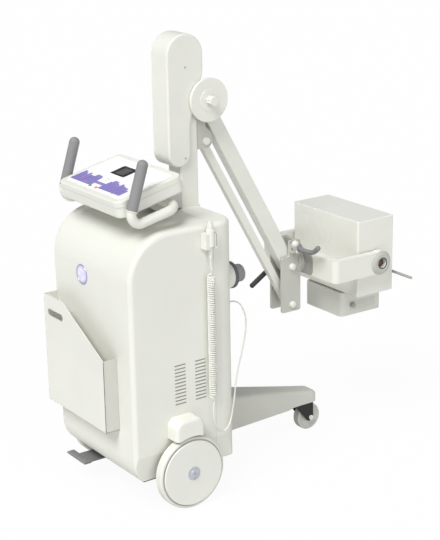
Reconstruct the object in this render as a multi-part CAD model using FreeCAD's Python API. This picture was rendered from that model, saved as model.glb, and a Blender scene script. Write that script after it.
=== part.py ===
import FreeCAD, Part
import math
import os

# Mobile radiography unit: a wheeled cabinet with a column, a balanced parallelogram arm,
# a yoke and a tube head with a collimator.
# Millimetres. While modelling, X points to the operator's right, Y forwards, Z up from the floor,
# and Y is zero at the rear axle. Every piece is moved at export so that the origin lies under
# the middle of the whole unit.

# Clearances
RUN_FIT = 0.05
SEAT_GAP = 0.3
PANEL_GAP = 1.0
BEND_SHARE = 0.45

# Cabinet
CABINET_HALF = 243.0
CABINET_REAR = -189.0
CABINET_FRONT = 226.0
CABINET_BOTTOM = 112.0
CABINET_TOP = 940.0
CABINET_WALL = 4.0
CREST_RADIUS = 150.0
TUCK_RADIUS = 104.0
FRONT_CORNER = 70.0
EDGE_RADIUS = 16.0
SKIRT_TOP = 203.0
SKIRT_TUCK = 16.0
ROUNDING_DEPTH = 26.0
COVER_DEPTH = 96.0

# Air slots in the sides of the cabinet
SLOT_COLUMNS = (-8.0, 71.0)
SLOT_LENGTH = 43.0
SLOT_HEIGHT = 5.0
SLOT_PITCH = 12.1
SLOT_COUNT = 12
SLOT_BOTTOM = 353.0

# Tray and rear axle
TRAY_THICK = 4.0
TRAY_MARGIN = 3.0
TRAY_RIM = 5.0
TRAY_REAR = -150.0
TRAY_FLANGE = 130.0
AXLE_RADIUS = 10.0
BLOCK_WIDTH = 30.0
BLOCK_DEPTH = 56.0
BLOCK_CROWN = 16.0
BLOCK_OFFSET = 24.0

# Rear wheels
WHEEL_RADIUS = 125.0
TYRE_WIDTH = 34.0
TYRE_DEPTH = 18.0
TYRE_EDGE = 7.0
TYRE_OFFSET = 13.0
DISC_RADIUS = 112.0
DISC_THICK = 7.0
DISC_DISH = 2.0
GROOVE_GAP = 2.0
RIM_SETBACK = 2.0
WEB_THICK = 9.0
RIM_THICK = 6.0
HUB_RADIUS = 26.0
HUB_CAP_RADIUS = 15.0
HUB_CAP_HEIGHT = 6.0

# Fenders
FENDER_REAR = -62.0
FENDER_FRONT = 48.0
FENDER_TOP = 317.0
FENDER_CORNER = 32.0
FENDER_EDGE = 12.0
FENDER_SOLE_Z = 248.0
FENDER_WALL = 4.0
WHEEL_CLEARANCE = 6.0

# Front leg
LEG_BOTTOM = 110.0
LEG_ROOT_TOP = 257.0
LEG_SHOULDER_Y = 232.0
LEG_NOSE_TOP = 152.0
LEG_NOSE_Y = 727.0
LEG_ROOT_HALF = 66.0
LEG_NOSE_HALF = 40.0
LEG_TAPER_END = 640.0
LEG_SOLE_Z = 115.0
LEG_STEP_Y = 612.0
LEG_STEP_RUN = 26.0
LEG_WALL = 6.0
LEG_STEP_BEND = 12.0
LEG_SOLE_BEND = 6.0
LEG_NOSE_BEND = 26.0
LEG_BACK_BEND = 60.0
LEG_SHOULDER_BEND = 40.0
LEG_TIP_BEND = 32.0
LEG_EDGE = 16.0
LEG_PAD_REAR = 630.0

# Caster
SWIVEL_Y = 668.0
CASTER_TRAIL = 32.0
CASTER_RADIUS = 50.0
CASTER_WIDTH = 34.0
CASTER_TREAD = 9.0
CHEEK_THICK = 4.0
CHEEK_INNER = 23.0
CHEEK_REAR = 36.0
CHEEK_LEAD = 42.0
CROWN_RADIUS = 29.0
CROWN_THICK = 8.0
STEM_RADIUS = 8.0
STEM_LENGTH = 24.0
CASTER_BOLT_RADIUS = 5.0
CASTER_HEAD_RADIUS = 9.0
CASTER_HEAD_THICK = 5.0
CHEEK_LIP = 2.0
CHEEK_HEEL = 4.0
CHEEK_TOE = 10.0
CHEEK_TOE_BEHIND = 14.0
CHEEK_TOE_AHEAD = 12.0
CHEEK_TOE_BELOW = 12.0
BRIDGE_LEAD = 8.0
ROLLER_HUB = 14.0
ROLLER_DISH = 4.0
ROLLER_DISH_START = 20.0
ROLLER_RIM = 14.0
ROLLER_BEND = 2.0
ROLLER_CROWN_EDGE = 2.0
ROLLER_CROWN_BEND = 6.0

# Column
COLUMN_HALF = 36.0
COLUMN_REAR = 147.0
COLUMN_FRONT = 219.0
COLUMN_WALL = 5.0
COLUMN_TOP = 1340.0
COLUMN_EDGE = 6.0
FOOT_HALF = 62.0
FOOT_THICK = 10.0

# Parallelogram arm
PIVOT_Y = 252.0
PIVOT_Z = 1295.0
LINK_DROP = 140.0
ARM_LENGTH = 736.0
ARM_ANGLE = 61.0
ARM_HALF = 23.0
ARM_DEPTH = 54.0
ARM_WALL = 4.0
ARM_EDGE = 5.0
TIE_HALF = 12.0
TIE_DEPTH = 26.0
TIE_END_RADIUS = 14.0
PIN_RADIUS = 9.0
OPEN_PIVOT_GAP = 0.4
BRACKET_PLATE = 8.0
BRACKET_SIDE_GAP = 3.0
BRACKET_NOSE = 24.0
BRACKET_NOSE_BEND = 20.0
BRACKET_BACK_THICK = 3.0
PIVOT_DISC_RADIUS = 73.0
PIVOT_DISC_THICK = 13.0
PIVOT_DISC_STEP = 2.0
LOCK_KNOB_RADIUS = 16.0
LOCK_KNOB_LENGTH = 26.0
LOCK_KNOB_LOBES = 6
LOCK_STUD_RADIUS = 6.0
LOBE_EDGE_SHARE = 0.125
LOBE_PLACE_SHARE = 1.18
LOBE_DEPTH_SHARE = 0.3
LOCK_STUD_LENGTH = 18.0

# Spring housing on the column
HOUSING_HALF = 48.0
HOUSING_REAR = 98.0
HOUSING_FRONT = 238.0
HOUSING_WAIST_Y = 184.0
HOUSING_TOP = 1518.0
HOUSING_BOTTOM = 1084.0
HOUSING_WALL = 3.0
HOUSING_EDGE = 7.0
HOUSING_NECK_BEND = 60.0
HOUSING_NECK_LOW = 1225.0
HOUSING_NECK_HIGH = 1385.0
SPRING_RADIUS = 26.0
SPRING_BOTTOM = 1010.0
SPRING_TOP = 1350.0
SPRING_ROD_RADIUS = 6.0
SPRING_ROD_REACH = 80.0
SPRING_PLATE_THICK = 6.0

# Console
CONSOLE_HALF = 190.0
CONSOLE_DEPTH = 250.0
CONSOLE_TILT = 13.0
CONSOLE_FRONT_Y = -189.0
CONSOLE_FRONT_Z = 1046.8
CONSOLE_THICK = 58.0
CONSOLE_LID = 20.0
CONSOLE_CORNER = 30.0
CONSOLE_TAIL_CORNER = 26.0
CONSOLE_WALL = 3.0
CONSOLE_EDGE = 9.0
KEYPAD_HALF = 172.0
KEYPAD_NEAR = 22.0
KEYPAD_FAR = 228.0
KEYPAD_CORNER = 14.0
KEYPAD_THICK = 0.8
KEYPAD_SINK = 0.5
DISPLAY_HALF = 40.0
DISPLAY_NEAR = 134.0
DISPLAY_FAR = 190.0
DISPLAY_X = -23.0
DISPLAY_CORNER = 2.0
DISPLAY_THICK = 3.0
BUTTON_RADIUS = 5.5
BUTTON_HEIGHT = 7.0
BUTTON_PROUD = 2.2
BUTTON_V = 37.0
BUTTON_GAP = 0.25
BUTTON_EDGE = 1.0
ON_BUTTON_X = -34.0
OFF_BUTTON_X = 2.0
BOARD_THICK = 1.6
BOARD_DROP = 12.0
BOARD_MARGIN = 18.0
POST_INSET_X = 30.0
POST_INSET_Y = 20.0
POST_RADIUS = 4.0
MODULE_MARGIN = 2.0
CHIP_X = -97.0
CHIP_Y = 133.0
CHIP_HALF = 13.0
CHIP_THICK = 3.0
BRACKET_HALF = 42.0
BRACKET_RUN = 205.0
BRACKET_TAIL = 20.0
BRACKET_LIP = 12.0
BRACKET_LIP_BEND = 4.0
BRACKET_BEND = 12.0
BRACKET_COLLAR = 8.0
BRACKET_FOOT = 8.0

# Handlebar
BAR_X = 210.5
BAR_RADIUS = 16.0
BAR_WALL = 2.5
BAR_CROSS_Y = 24.0
BAR_CROSS_Z = 1006.0
BAR_BEND = 46.0
BAR_RISE_BEND = 32.0
BAR_DROP = 55.0
BAR_INSERT = 60.0
GRIP_BASE_Y = -150.0
GRIP_BASE_Z = 1018.0
GRIP_TOP_Y = -100.0
GRIP_TOP_Z = 1176.0
GRIP_RADIUS = 17.5

# Cassette bin on the operator's face
BIN_LEFT = -226.0
BIN_RIGHT = 152.0
BIN_DEPTH = 52.0
BIN_BOTTOM = 279.0
BIN_LIP_LOW = 525.0
BIN_LIP_HIGH = 659.0
BIN_LIP_X = -100.0
BIN_WALL = 2.0
BIN_LIP_CORNER = 12.0
BIN_SLOT_X = -152.0
BIN_SLOT_Z = 602.0
BIN_SLOT_LENGTH = 98.0
BIN_SLOT_HEIGHT = 22.0

# Handswitch on the right side of the cabinet
SWITCH_OFFSET = 20.0
SWITCH_Y = 106.0
SWITCH_BOTTOM = 872.0
SWITCH_TOP = 930.0
SWITCH_RADIUS = 14.0
SWITCH_NECK_RADIUS = 10.0
SWITCH_NECK_LENGTH = 18.0
SWITCH_OVERLAP = 5.0
SWITCH_EDGE = 2.5
FIRE_RADIUS = 6.5
FIRE_LENGTH = 22.0
FIRE_PROUD = 9.0
FIRE_EDGE = 2.0
HOLDER_WALL = 3.0
HOLDER_BOTTOM = 866.0
HOLDER_TOP = 916.0
HOLDER_HALF = 24.0
HOLDER_REACH = 10.0
HOLDER_CORNER = 2.0
HOLDER_WAY_GAP = 1.0
HOLDER_CLIP_NEAR = 16.5
HOLDER_CLIP_FAR = 20.0
HOLDER_CLIP_FOOT = 6.0
RELIEF_LENGTH = 38.0
RELIEF_TOP_RADIUS = 8.0
RELIEF_END_RADIUS = 5.0

# Handswitch lead
LEAD_DIAMETER = 5.0
COIL_DIAMETER = 19.0
COIL_TOP = 812.0
COIL_BOTTOM = 322.0
GLAND_X = 165.0
GLAND_Z = 632.0
GLAND_RADIUS = 8.0
GLAND_LENGTH = 14.0
GLAND_SHANK = 6.0
LEAD_ROUTE = (
    (263, 106, 290), (262, 114, 252), (259, 133, 224), (256, 160, 222), (253, 181, 246), (247, 194, 286),
    (238, 209, 328), (224, 224, 370), (211, 246, 414), (201, 268, 460), (192, 288, 508), (184, 300, 550),
    (175, 300, 586), (168, 288, 616), (165, 264, 632),
)

# Latch knob on the forward cover
KNOB_X = 150.0
KNOB_Z = 720.0
BOSS_RADIUS = 46.0
BOSS_REACH = 28.0
KNOB_SKIRT_RADIUS = 46.0
KNOB_SKIRT_THICK = 12.0
KNOB_RADIUS = 30.0
KNOB_LENGTH = 40.0
KNOB_GROOVE = 2.0
KNOB_GROOVE_AT = 24.0
KNOB_GROOVE_WIDTH = 3.0
KNOB_END_RADIUS = 10.0
KNOB_SPINDLE_RADIUS = 8.0
DOG_DEPTH = 40.0
DOG_HALF = 12.0
DOG_THICK = 6.0
DOG_REACH = 40.0

# Brake pedal
PEDAL_LEFT = -198.0
PEDAL_RIGHT = -77.0
PEDAL_REAR = -199.0
PEDAL_BAR_DEPTH = 27.0
PEDAL_TOP = 78.0
PEDAL_THICK = 6.0
PEDAL_ARM_LEFT = -160.0
PEDAL_SHAFT_Y = -92.0
PEDAL_SHAFT_Z = 90.0
PEDAL_SHAFT_RADIUS = 7.0
PEDAL_LUG_THICK = 6.0
PEDAL_LUG_FOOT = 14.0
PEDAL_LUG_TIP = 12.0
PEDAL_LUG_BEND = 8.0
PEDAL_LIP = 3.0
PEDAL_ARM_LAP = 4.0
PEDAL_ARM_MARGIN = 6.0
PEDAL_ARM_BEND = 12.0
PEDAL_ARM_RISE = 16.0
PEDAL_ARM_HALF = 4.0
PEDAL_SHAFT_END = 4.0
PEDAL_SHAFT_REACH = 20.0

# Inside the cabinet
BATTERY_SIZE = (300.0, 110.0, 170.0)
BATTERY_Y = -50.0
BATTERY_BOTTOM = 140.0
BATTERY_FEET = (-100.0, -20.0)
CELL_SEAM = 1.0
TERMINAL_SPREAD = 2.4
RAIL_HALF = 18.0
SEAM_DEPTH = 8.0
TERMINAL_HEIGHT = 12.0
TERMINAL_RADIUS = 6.0
GENERATOR_SIZE = (330.0, 230.0, 260.0)
GENERATOR_Y = -20.0
GENERATOR_Z = 420.0
SHELF_THICK = 4.0
FIN_COUNT = 10
FIN_PITCH = 30.0
FIN_MARGIN = 20.0
FIN_THICK = 4.0
FIN_HEIGHT = 18.0
SOCKET_PLACES = (148.0, -154.0)
SOCKET_RADIUS = 15.0
SOCKET_HEIGHT = 26.0
SOCKET_INSET = 30.0

# Fork at the lower end of the arm
FORK_PLATE = 8.0
FORK_SIDE_GAP = 4.0
FORK_BEHIND = 45.82
FORK_AHEAD = 37.18
FORK_WEB = 9.0
FORK_ABOVE = 38.72
FORK_TAIL = 26.0
WEB_RISE = 30.0
FORK_CORNER = 8.0
FLANGE_RADIUS = 46.0
FLANGE_THICK = 6.0
SPIGOT_RADIUS = 25.0
BOLT_RADIUS = 8.0
BOLT_HEAD_RADIUS = 12.5
BOLT_HEAD_THICK = 7.0
BOLT_HEAD_EDGE = 2.0
LOCK_ABOVE = 96.72
LOCK_BEHIND = 12.82
LOCK_WEB_AHEAD = 21.18
LEVER_HUB_RADIUS = 15.0
LEVER_PIN_RADIUS = 6.0
LEVER_PIN_LENGTH = 14.0
EAR_THICK = 14.0
EAR_ABOVE = 85.72
EAR_HEIGHT = 30.0
EAR_REACH = 26.0

# Yoke
ROLL_ABOVE = 8.72
YOKE_OUTER = 212.0
YOKE_INNER = 188.0
YOKE_BAR_DEPTH = 30.0
YOKE_HALF_HEIGHT = 40.0
YOKE_CORNER = 22.0
YOKE_WALL = 4.0
YOKE_REACH = 208.7
TRUNNION_RADIUS = 19.0
TRUNNION_SHORT = 6.0
YOKE_HUB_RADIUS = 43.0
YOKE_HUB_PROUD = 10.0
YOKE_HUB_STEP = 1.0
YOKE_HUB_FACE = 34.0
YOKE_HUB_HOLE = 16.0

# Tube head
HEAD_HALF = 183.0
HEAD_BEHIND = 82.0
HEAD_AHEAD = 83.0
HEAD_BELOW = 121.0
HEAD_ABOVE = 155.0
HEAD_LID = 24.0
HEAD_LID_EDGE = 3.0
HEAD_WALL = 4.0
BOSS_SHARE = 1.6
HEAD_EDGE = 7.0
TUBE_RADIUS = 52.0
TUBE_HALF = 120.0
TUBE_LIFT = 20.0
TUBE_NECK = 30.0
TUBE_FOOT = 20.0
TUBE_FOOT_HALF = 50.0
COLLAR_RADIUS = 62.0
COLLAR_THICK = 6.0
HANDLE_RADIUS = 5.0
HANDLE_REACH = 86.0
HANDLE_STAND = 14.0
HANDLE_ABOVE = 59.0
HANDLE_STAND_LEFT = 12.0
HANDLE_STAND_RIGHT = 20.0
HANDLE_STAND_RADIUS = 4.0

# Collimator
COLL_HALF_X = 104.0
COLL_BEHIND = 91.0
COLL_AHEAD = 98.0
COLL_BELOW = 94.0
COLL_CORNER = 18.0
COLL_WALL = 4.0
WINDOW_HALF = 62.0
WINDOW_THICK = 3.0
WINDOW_CORNER = 6.0
LEAF_INNER = 30.0
LEAF_THICK = 4.0
LEAF_LIFT = 14.0
CROSS_LEAF_LIFT = 6.0
CROSS_LEAF_INNER = 28.0
CROSS_LEAF_HALF = 60.0
LEAF_POST = 4.0
LEAF_FRAME = 74.0
FIELD_KNOB_RADIUS = 9.0
FIELD_KNOB_LENGTH = 14.0
FIELD_KNOB_BEHIND = 41.0
FIELD_KNOB_LOBES = 8
FIELD_SPINDLE_RADIUS = 3.0
FIELD_SPINDLE_DEPTH = 6.0
FIELD_KNOB_RISE = 39.0

# Levers
SWIVEL_LEVER_INSET = 9.0
SWIVEL_LEVER_AHEAD = 26.0
SWIVEL_LEVER_BENDS = (0.4, 0.75)
SWIVEL_LEVER_REACH = 118.0
SWIVEL_LEVER_RISE = 30.0
SWIVEL_LEVER_SAG = 3.0
LEVER_RADIUS = 9.0
LEVER_TIP = 0.8
LIFT_LEVER_REACH = 140.0
LIFT_LEVER_DROP = 32.0
LIFT_HUB_MARGIN = 1.0
LIFT_LEVER_RADIUS = 9.0

# Sizes worked out from those above
SEAM_Y = CABINET_FRONT - COVER_DEPTH
AXLE_Z = WHEEL_RADIUS
TRAY_TOP = CABINET_BOTTOM
TRAY_BOTTOM = TRAY_TOP - TRAY_THICK
TYRE_INNER_X = CABINET_HALF + TYRE_OFFSET
SWITCH_X = CABINET_HALF + SWITCH_OFFSET
TRAY_FRONT = SEAM_Y - PANEL_GAP
CASTER_Y = SWIVEL_Y + CASTER_TRAIL
ARM_RAD = math.radians(ARM_ANGLE)
ARM_DIR = (math.cos(ARM_RAD), -math.sin(ARM_RAD))
FORK_Y = PIVOT_Y + ARM_LENGTH * ARM_DIR[0]
FORK_Z = PIVOT_Z + ARM_LENGTH * ARM_DIR[1]
TIE_Z = PIVOT_Z - LINK_DROP
TIE_END_Z = FORK_Z - LINK_DROP
FORK_INNER = ARM_HALF + FORK_SIDE_GAP
FORK_OUTER = FORK_INNER + FORK_PLATE
FORK_BOTTOM = TIE_END_Z - FORK_TAIL
FORK_REAR = FORK_Y - FORK_BEHIND
FORK_FRONT = FORK_Y + FORK_AHEAD
FORK_TOP = FORK_Z + FORK_ABOVE
LOCK_BLOCK_TOP = FORK_Z + LOCK_ABOVE
LOCK_BLOCK_REAR = FORK_Y - LOCK_BEHIND
LOCK_BLOCK_BACK = FORK_Y + LOCK_WEB_AHEAD
EAR_TOP = FORK_Z + EAR_ABOVE
EAR_BOTTOM = EAR_TOP - EAR_HEIGHT
EAR_OUTER = FORK_OUTER + EAR_REACH
SWIVEL_LEVER_X = EAR_OUTER - SWIVEL_LEVER_INSET
SWIVEL_LEVER_Y = LOCK_BLOCK_REAR + SWIVEL_LEVER_AHEAD
SWIVEL_LEVER_Z = (EAR_TOP + EAR_BOTTOM) / 2
ROLL_Z = FORK_Z + ROLL_ABOVE
BRACKET_INNER = ARM_HALF + BRACKET_SIDE_GAP
BRACKET_OUTER = BRACKET_INNER + BRACKET_PLATE
YOKE_REAR = FORK_FRONT + 2 * FLANGE_THICK + SEAT_GAP
TRUNNION_Y = YOKE_REAR + YOKE_REACH
HEAD_REAR = TRUNNION_Y - HEAD_BEHIND
HEAD_FRONT = TRUNNION_Y + HEAD_AHEAD
HEAD_BOTTOM = ROLL_Z - HEAD_BELOW
HEAD_TOP = ROLL_Z + HEAD_ABOVE
HEAD_SEAM = HEAD_TOP - HEAD_LID
HANDLE_Z = HEAD_BOTTOM + HANDLE_ABOVE
COLL_REAR = TRUNNION_Y - COLL_BEHIND
COLL_FRONT = TRUNNION_Y + COLL_AHEAD
COLL_BOTTOM = HEAD_BOTTOM - COLL_BELOW
FIELD_KNOB_Y = TRUNNION_Y - FIELD_KNOB_BEHIND
FIELD_KNOB_Z = COLL_BOTTOM + FIELD_KNOB_RISE
DISC_OUTER_X = TYRE_INNER_X + TYRE_WIDTH + DISC_THICK
HUB_CAP_X = DISC_OUTER_X + HUB_CAP_HEIGHT
DISC_INNER_X = HOUSING_HALF + SEAT_GAP + PIVOT_DISC_STEP
HANDLE_END_X = HEAD_HALF + HANDLE_REACH
HANDLE_Y = HEAD_FRONT + HANDLE_STAND
BIN_FRONT = CABINET_REAR - BIN_DEPTH
MIDDLE_Y = (BIN_FRONT + HANDLE_Y + HANDLE_RADIUS) / 2
PARTS = {}


def vec(x, y, z):
    return FreeCAD.Vector(x, y, z)


def block(x, y, z):
    """A box between two limits along each axis."""
    return Part.makeBox(x[1] - x[0], y[1] - y[0], z[1] - z[0], vec(x[0], y[0], z[0]))


def rod(axis, start, end, across, radius):
    """A cylinder along X, Y or Z; across gives its centre on the other two axes, in order."""
    base = {"X": vec(start, *across), "Y": vec(across[0], start, across[1]), "Z": vec(*across, start)}[axis]
    way = {"X": vec(1, 0, 0), "Y": vec(0, 1, 0), "Z": vec(0, 0, 1)}[axis]
    return Part.makeCylinder(radius, end - start, base, way)


def taper(axis, start, end, across, first, last):
    """A cone along X, Y or Z from one radius to another."""
    base = {"X": vec(start, *across), "Y": vec(across[0], start, across[1]), "Z": vec(*across, start)}[axis]
    way = {"X": vec(1, 0, 0), "Y": vec(0, 1, 0), "Z": vec(0, 0, 1)}[axis]
    return Part.makeCone(first, last, end - start, base, way)


def outline(points, place):
    """A closed wire through (a, b, radius) corners, each rounded by a tangent arc."""
    count = len(points)
    starts = []
    ends = []
    arcs = []
    for i, (a, b, radius) in enumerate(points):
        before = points[i - 1]
        after = points[(i + 1) % count]
        back = (before[0] - a, before[1] - b)
        ahead = (after[0] - a, after[1] - b)
        size_back = math.hypot(*back)
        size_ahead = math.hypot(*ahead)
        back = (back[0] / size_back, back[1] / size_back)
        ahead = (ahead[0] / size_ahead, ahead[1] / size_ahead)
        half = math.acos(max(-1.0, min(1.0, back[0] * ahead[0] + back[1] * ahead[1]))) / 2
        if radius == 0:
            starts.append((a, b))
            ends.append((a, b))
            arcs.append(None)
            continue
        reach = radius / math.tan(half)
        first = (a + back[0] * reach, b + back[1] * reach)
        last = (a + ahead[0] * reach, b + ahead[1] * reach)
        middle = (back[0] + ahead[0], back[1] + ahead[1])
        size = math.hypot(*middle)
        depth = radius / math.sin(half) - radius
        mid = (a + middle[0] / size * depth, b + middle[1] / size * depth)
        starts.append(first)
        ends.append(last)
        arcs.append(mid)
    edges = []
    for i in range(count):
        if arcs[i]:
            edges.append(Part.Arc(place(*starts[i]), place(*arcs[i]), place(*ends[i])).toShape())
        here = place(*ends[i])
        there = place(*starts[(i + 1) % count])
        if here.distanceToPoint(there) > RUN_FIT / 10:
            edges.append(Part.LineSegment(here, there).toShape())
    return Part.Wire(edges)


def prism(axis, points, start, end):
    """An outline extruded along X (points are y, z), Y (x, z) or Z (x, y)."""
    places = {
        "X": lambda a, b: vec(start, a, b),
        "Y": lambda a, b: vec(a, start, b),
        "Z": lambda a, b: vec(a, b, start),
    }
    ways = {"X": vec(end - start, 0, 0), "Y": vec(0, end - start, 0), "Z": vec(0, 0, end - start)}
    return Part.Face(outline(points, places[axis])).extrude(ways[axis])


def rounded(low_a, high_a, low_b, high_b, radius):
    corners = ((low_a, low_b), (high_a, low_b), (high_a, high_b), (low_a, high_b))
    return [(a, b, radius) for a, b in corners]


def mirrored(shape):
    return shape.mirror(vec(0, 0, 0), vec(1, 0, 0))


def both_sides(shape):
    return Part.makeCompound([shape, mirrored(shape)])


def slot(axis, start, end, across, length, height):
    """A bar with round ends, its length along the first of the two cross axes."""
    a, b = across
    points = rounded(a - length / 2, a + length / 2, b - height / 2, b + height / 2, height / 2 - RUN_FIT)
    return prism(axis, points, start, end)


def turned(shape, angle, centre, axis):
    copy = shape.copy()
    copy.rotate(centre, axis, angle)
    return copy


def add(name, shape):
    """Keep a piece for export, moved to the unit's own origin."""
    piece = shape.copy()
    piece.translate(vec(0, -MIDDLE_Y, 0))
    PARTS[name] = piece


def pipe(nodes, radii, radius):
    """A round solid along straight runs, with a tangent bend of its own radius at each inner point."""
    pieces = []
    length = 0
    start = nodes[0]
    for before, here, after, bend in zip(nodes, nodes[1:], nodes[2:], radii):
        back = (before - here).normalize()
        ahead = (after - here).normalize()
        turn = math.pi - back.getAngle(ahead)
        reach = bend * math.tan(turn / 2)
        first = here + back * reach
        pieces.append(Part.makeCylinder(radius, (first - start).Length, start, first - start))
        centre = here + (back + ahead).normalize() * (bend / math.cos(turn / 2))
        ring = Part.Face(Part.Wire(Part.makeCircle(radius, first, back)))
        pieces.append(ring.revolve(centre, ahead.cross(back), math.degrees(turn)))
        length += (first - start).Length + bend * turn
        start = here + ahead * reach
    pieces.append(Part.makeCylinder(radius, (nodes[-1] - start).Length, start, nodes[-1] - start))
    length += (nodes[-1] - start).Length
    return (pieces[0].fuse(pieces[1:]) if len(pieces) > 1 else pieces[0]), length


def largest_bends(nodes):
    """The largest tangent arc that each pair of runs leaves room for."""
    radii = []
    for before, here, after in zip(nodes, nodes[1:], nodes[2:]):
        back = before - here
        ahead = after - here
        turn = math.pi - back.getAngle(ahead)
        radii.append(BEND_SHARE * min(back.Length, ahead.Length) / math.tan(turn / 2))
    return radii


def tube(points, radius):
    """A cord's solid, with its bends and the volume it must have printed beside."""
    nodes = [vec(*point) for point in points]
    radii = largest_bends(nodes)
    solid, length = pipe(nodes, radii, radius)
    print("cord bends", [round(r, 1) for r in radii])
    print("least bend over diameter", round(min(radii) / radius / 2, 2))
    print("cord length", round(length, 1), "volume", round(solid.Volume),
          "section times length", round(math.pi * radius ** 2 * length))
    return solid


# Cabinet: a side outline crossed with a plan, rounded all over, cut level at the foot and hollow
def cabinet_body(inset, edge_radius):
    low = CABINET_BOTTOM - ROUNDING_DEPTH + inset
    half = CABINET_HALF - inset
    side = prism("X", [
        (CABINET_REAR + inset, low, TUCK_RADIUS - inset),
        (CABINET_FRONT - inset, low, 0),
        (CABINET_FRONT - inset, CABINET_TOP - inset, 0),
        (CABINET_REAR + inset, CABINET_TOP - inset, CREST_RADIUS - inset),
    ], -half, half)
    corner = FRONT_CORNER - inset
    plan = prism("Z", [
        (-half, CABINET_REAR + inset, 0),
        (half, CABINET_REAR + inset, 0),
        (half, CABINET_FRONT - inset, corner),
        (-half, CABINET_FRONT - inset, corner),
    ], low, CABINET_TOP - inset)
    body = side.common(plan)
    sharp = []
    for edge in body.Edges:
        mid = edge.valueAt((edge.FirstParameter + edge.LastParameter) / 2)
        level = edge.BoundBox.ZLength < RUN_FIT
        ahead = mid.y > CABINET_FRONT - FRONT_CORNER - RUN_FIT
        on_side = abs(abs(mid.x) - half) < RUN_FIT and not (ahead and not level)
        on_front = level and ahead
        if on_side or on_front:
            sharp.append(edge)
    body = body.makeFillet(edge_radius, sharp)
    skirt = prism("Y", [
        (half - SKIRT_TUCK, CABINET_BOTTOM, 0),
        (half + 1, CABINET_BOTTOM, 0),
        (half + 1, SKIRT_TOP, 0),
        (half, SKIRT_TOP, 0),
    ], CABINET_REAR, CABINET_FRONT)
    below = block((-CABINET_HALF, CABINET_HALF), (CABINET_REAR, CABINET_FRONT), (0, CABINET_BOTTOM))
    return body.cut([skirt, mirrored(skirt)]), below


def cabinet():
    outer, below = cabinet_body(0, EDGE_RADIUS)
    inner, _ = cabinet_body(CABINET_WALL, EDGE_RADIUS - CABINET_WALL)
    hollow = outer.cut([inner, below])
    far = 2 * CABINET_TOP
    rear_half = block((-far, far), (-far, SEAM_Y), (-far, far))
    return hollow.common(rear_half), hollow.cut(rear_half)


def cabinet_shell(shell):
    cuts = []
    for centre in SLOT_COLUMNS:
        for row in range(SLOT_COUNT):
            level = SLOT_BOTTOM + SLOT_PITCH * row
            cuts.append(block((-CABINET_HALF - 1, CABINET_HALF + 1),
                              (centre - SLOT_LENGTH / 2, centre + SLOT_LENGTH / 2),
                              (level, level + SLOT_HEIGHT)))
    cuts.append(rod("X", -CABINET_HALF - 1, CABINET_HALF + 1, (0, AXLE_Z), AXLE_RADIUS + PANEL_GAP))
    return shell.cut(cuts)


def column_clearance(height):
    gap = PANEL_GAP
    return block((-COLUMN_HALF - gap, COLUMN_HALF + gap), (COLUMN_REAR - gap, COLUMN_FRONT + gap), height)


def forward_cover(shell):
    boss = taper("Y", CABINET_FRONT - CABINET_WALL, CABINET_FRONT + BOSS_REACH, (KNOB_X, KNOB_Z),
                 BOSS_RADIUS + CABINET_WALL, BOSS_RADIUS - CABINET_WALL)
    cover = shell.fuse(boss).removeSplitter()
    bore = rod("Y", SEAM_Y, CABINET_FRONT + BOSS_REACH + 1, (KNOB_X, KNOB_Z), KNOB_SPINDLE_RADIUS + RUN_FIT)
    lead = rod("Y", SEAM_Y, CABINET_FRONT + 1, (GLAND_X, GLAND_Z), GLAND_RADIUS / 2 + RUN_FIT)
    cover = cover.cut([bore, lead, column_clearance((CABINET_TOP - EDGE_RADIUS * 2, CABINET_TOP + 1))])
    return cover.cut(leg_body(PANEL_GAP))


# Front leg: a tapered box that carries the caster under its nose and the column on its root
def leg_body(grow):
    rear = TRAY_FRONT - grow
    side = prism("X", [
        (rear, LEG_BOTTOM - grow, 0),
        (LEG_STEP_Y - LEG_STEP_RUN, LEG_BOTTOM - grow, LEG_STEP_BEND),
        (LEG_STEP_Y, LEG_SOLE_Z - grow, LEG_STEP_BEND),
        (LEG_NOSE_Y + grow, LEG_SOLE_Z - grow, LEG_SOLE_BEND),
        (LEG_NOSE_Y + grow, LEG_NOSE_TOP + grow, LEG_NOSE_BEND),
        (LEG_SHOULDER_Y, LEG_ROOT_TOP + grow, LEG_BACK_BEND),
        (rear, LEG_ROOT_TOP + grow, 0),
    ], -LEG_ROOT_HALF - grow, LEG_ROOT_HALF + grow)
    root = LEG_ROOT_HALF + grow
    nose = LEG_NOSE_HALF + grow
    plan = prism("Z", [
        (-root, rear, 0),
        (root, rear, 0),
        (root, LEG_SHOULDER_Y, LEG_SHOULDER_BEND),
        (nose, LEG_TAPER_END, LEG_BACK_BEND),
        (nose, LEG_NOSE_Y + grow, LEG_TIP_BEND),
        (-nose, LEG_NOSE_Y + grow, LEG_TIP_BEND),
        (-nose, LEG_TAPER_END, LEG_BACK_BEND),
        (-root, LEG_SHOULDER_Y, LEG_SHOULDER_BEND),
    ], 0, LEG_ROOT_TOP + grow)
    return side.common(plan)


def front_leg():
    leg = leg_body(0)
    crown = [e for e in leg.Edges
             if e.BoundBox.YLength > LEG_TAPER_END / 2 and e.CenterOfMass.z > LEG_NOSE_TOP]
    leg = leg.makeFillet(LEG_EDGE, crown)
    hollow = leg_body(-LEG_WALL)
    keep = block((-LEG_ROOT_HALF, LEG_ROOT_HALF), (LEG_PAD_REAR, LEG_NOSE_Y), (0, LEG_ROOT_TOP))
    leg = leg.cut(hollow.cut(keep))
    stem_top = LEG_SOLE_Z + STEM_LENGTH + SEAT_GAP
    return leg.cut(rod("Z", LEG_SOLE_Z - 1, stem_top, (0, SWIVEL_Y), STEM_RADIUS + RUN_FIT))


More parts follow.
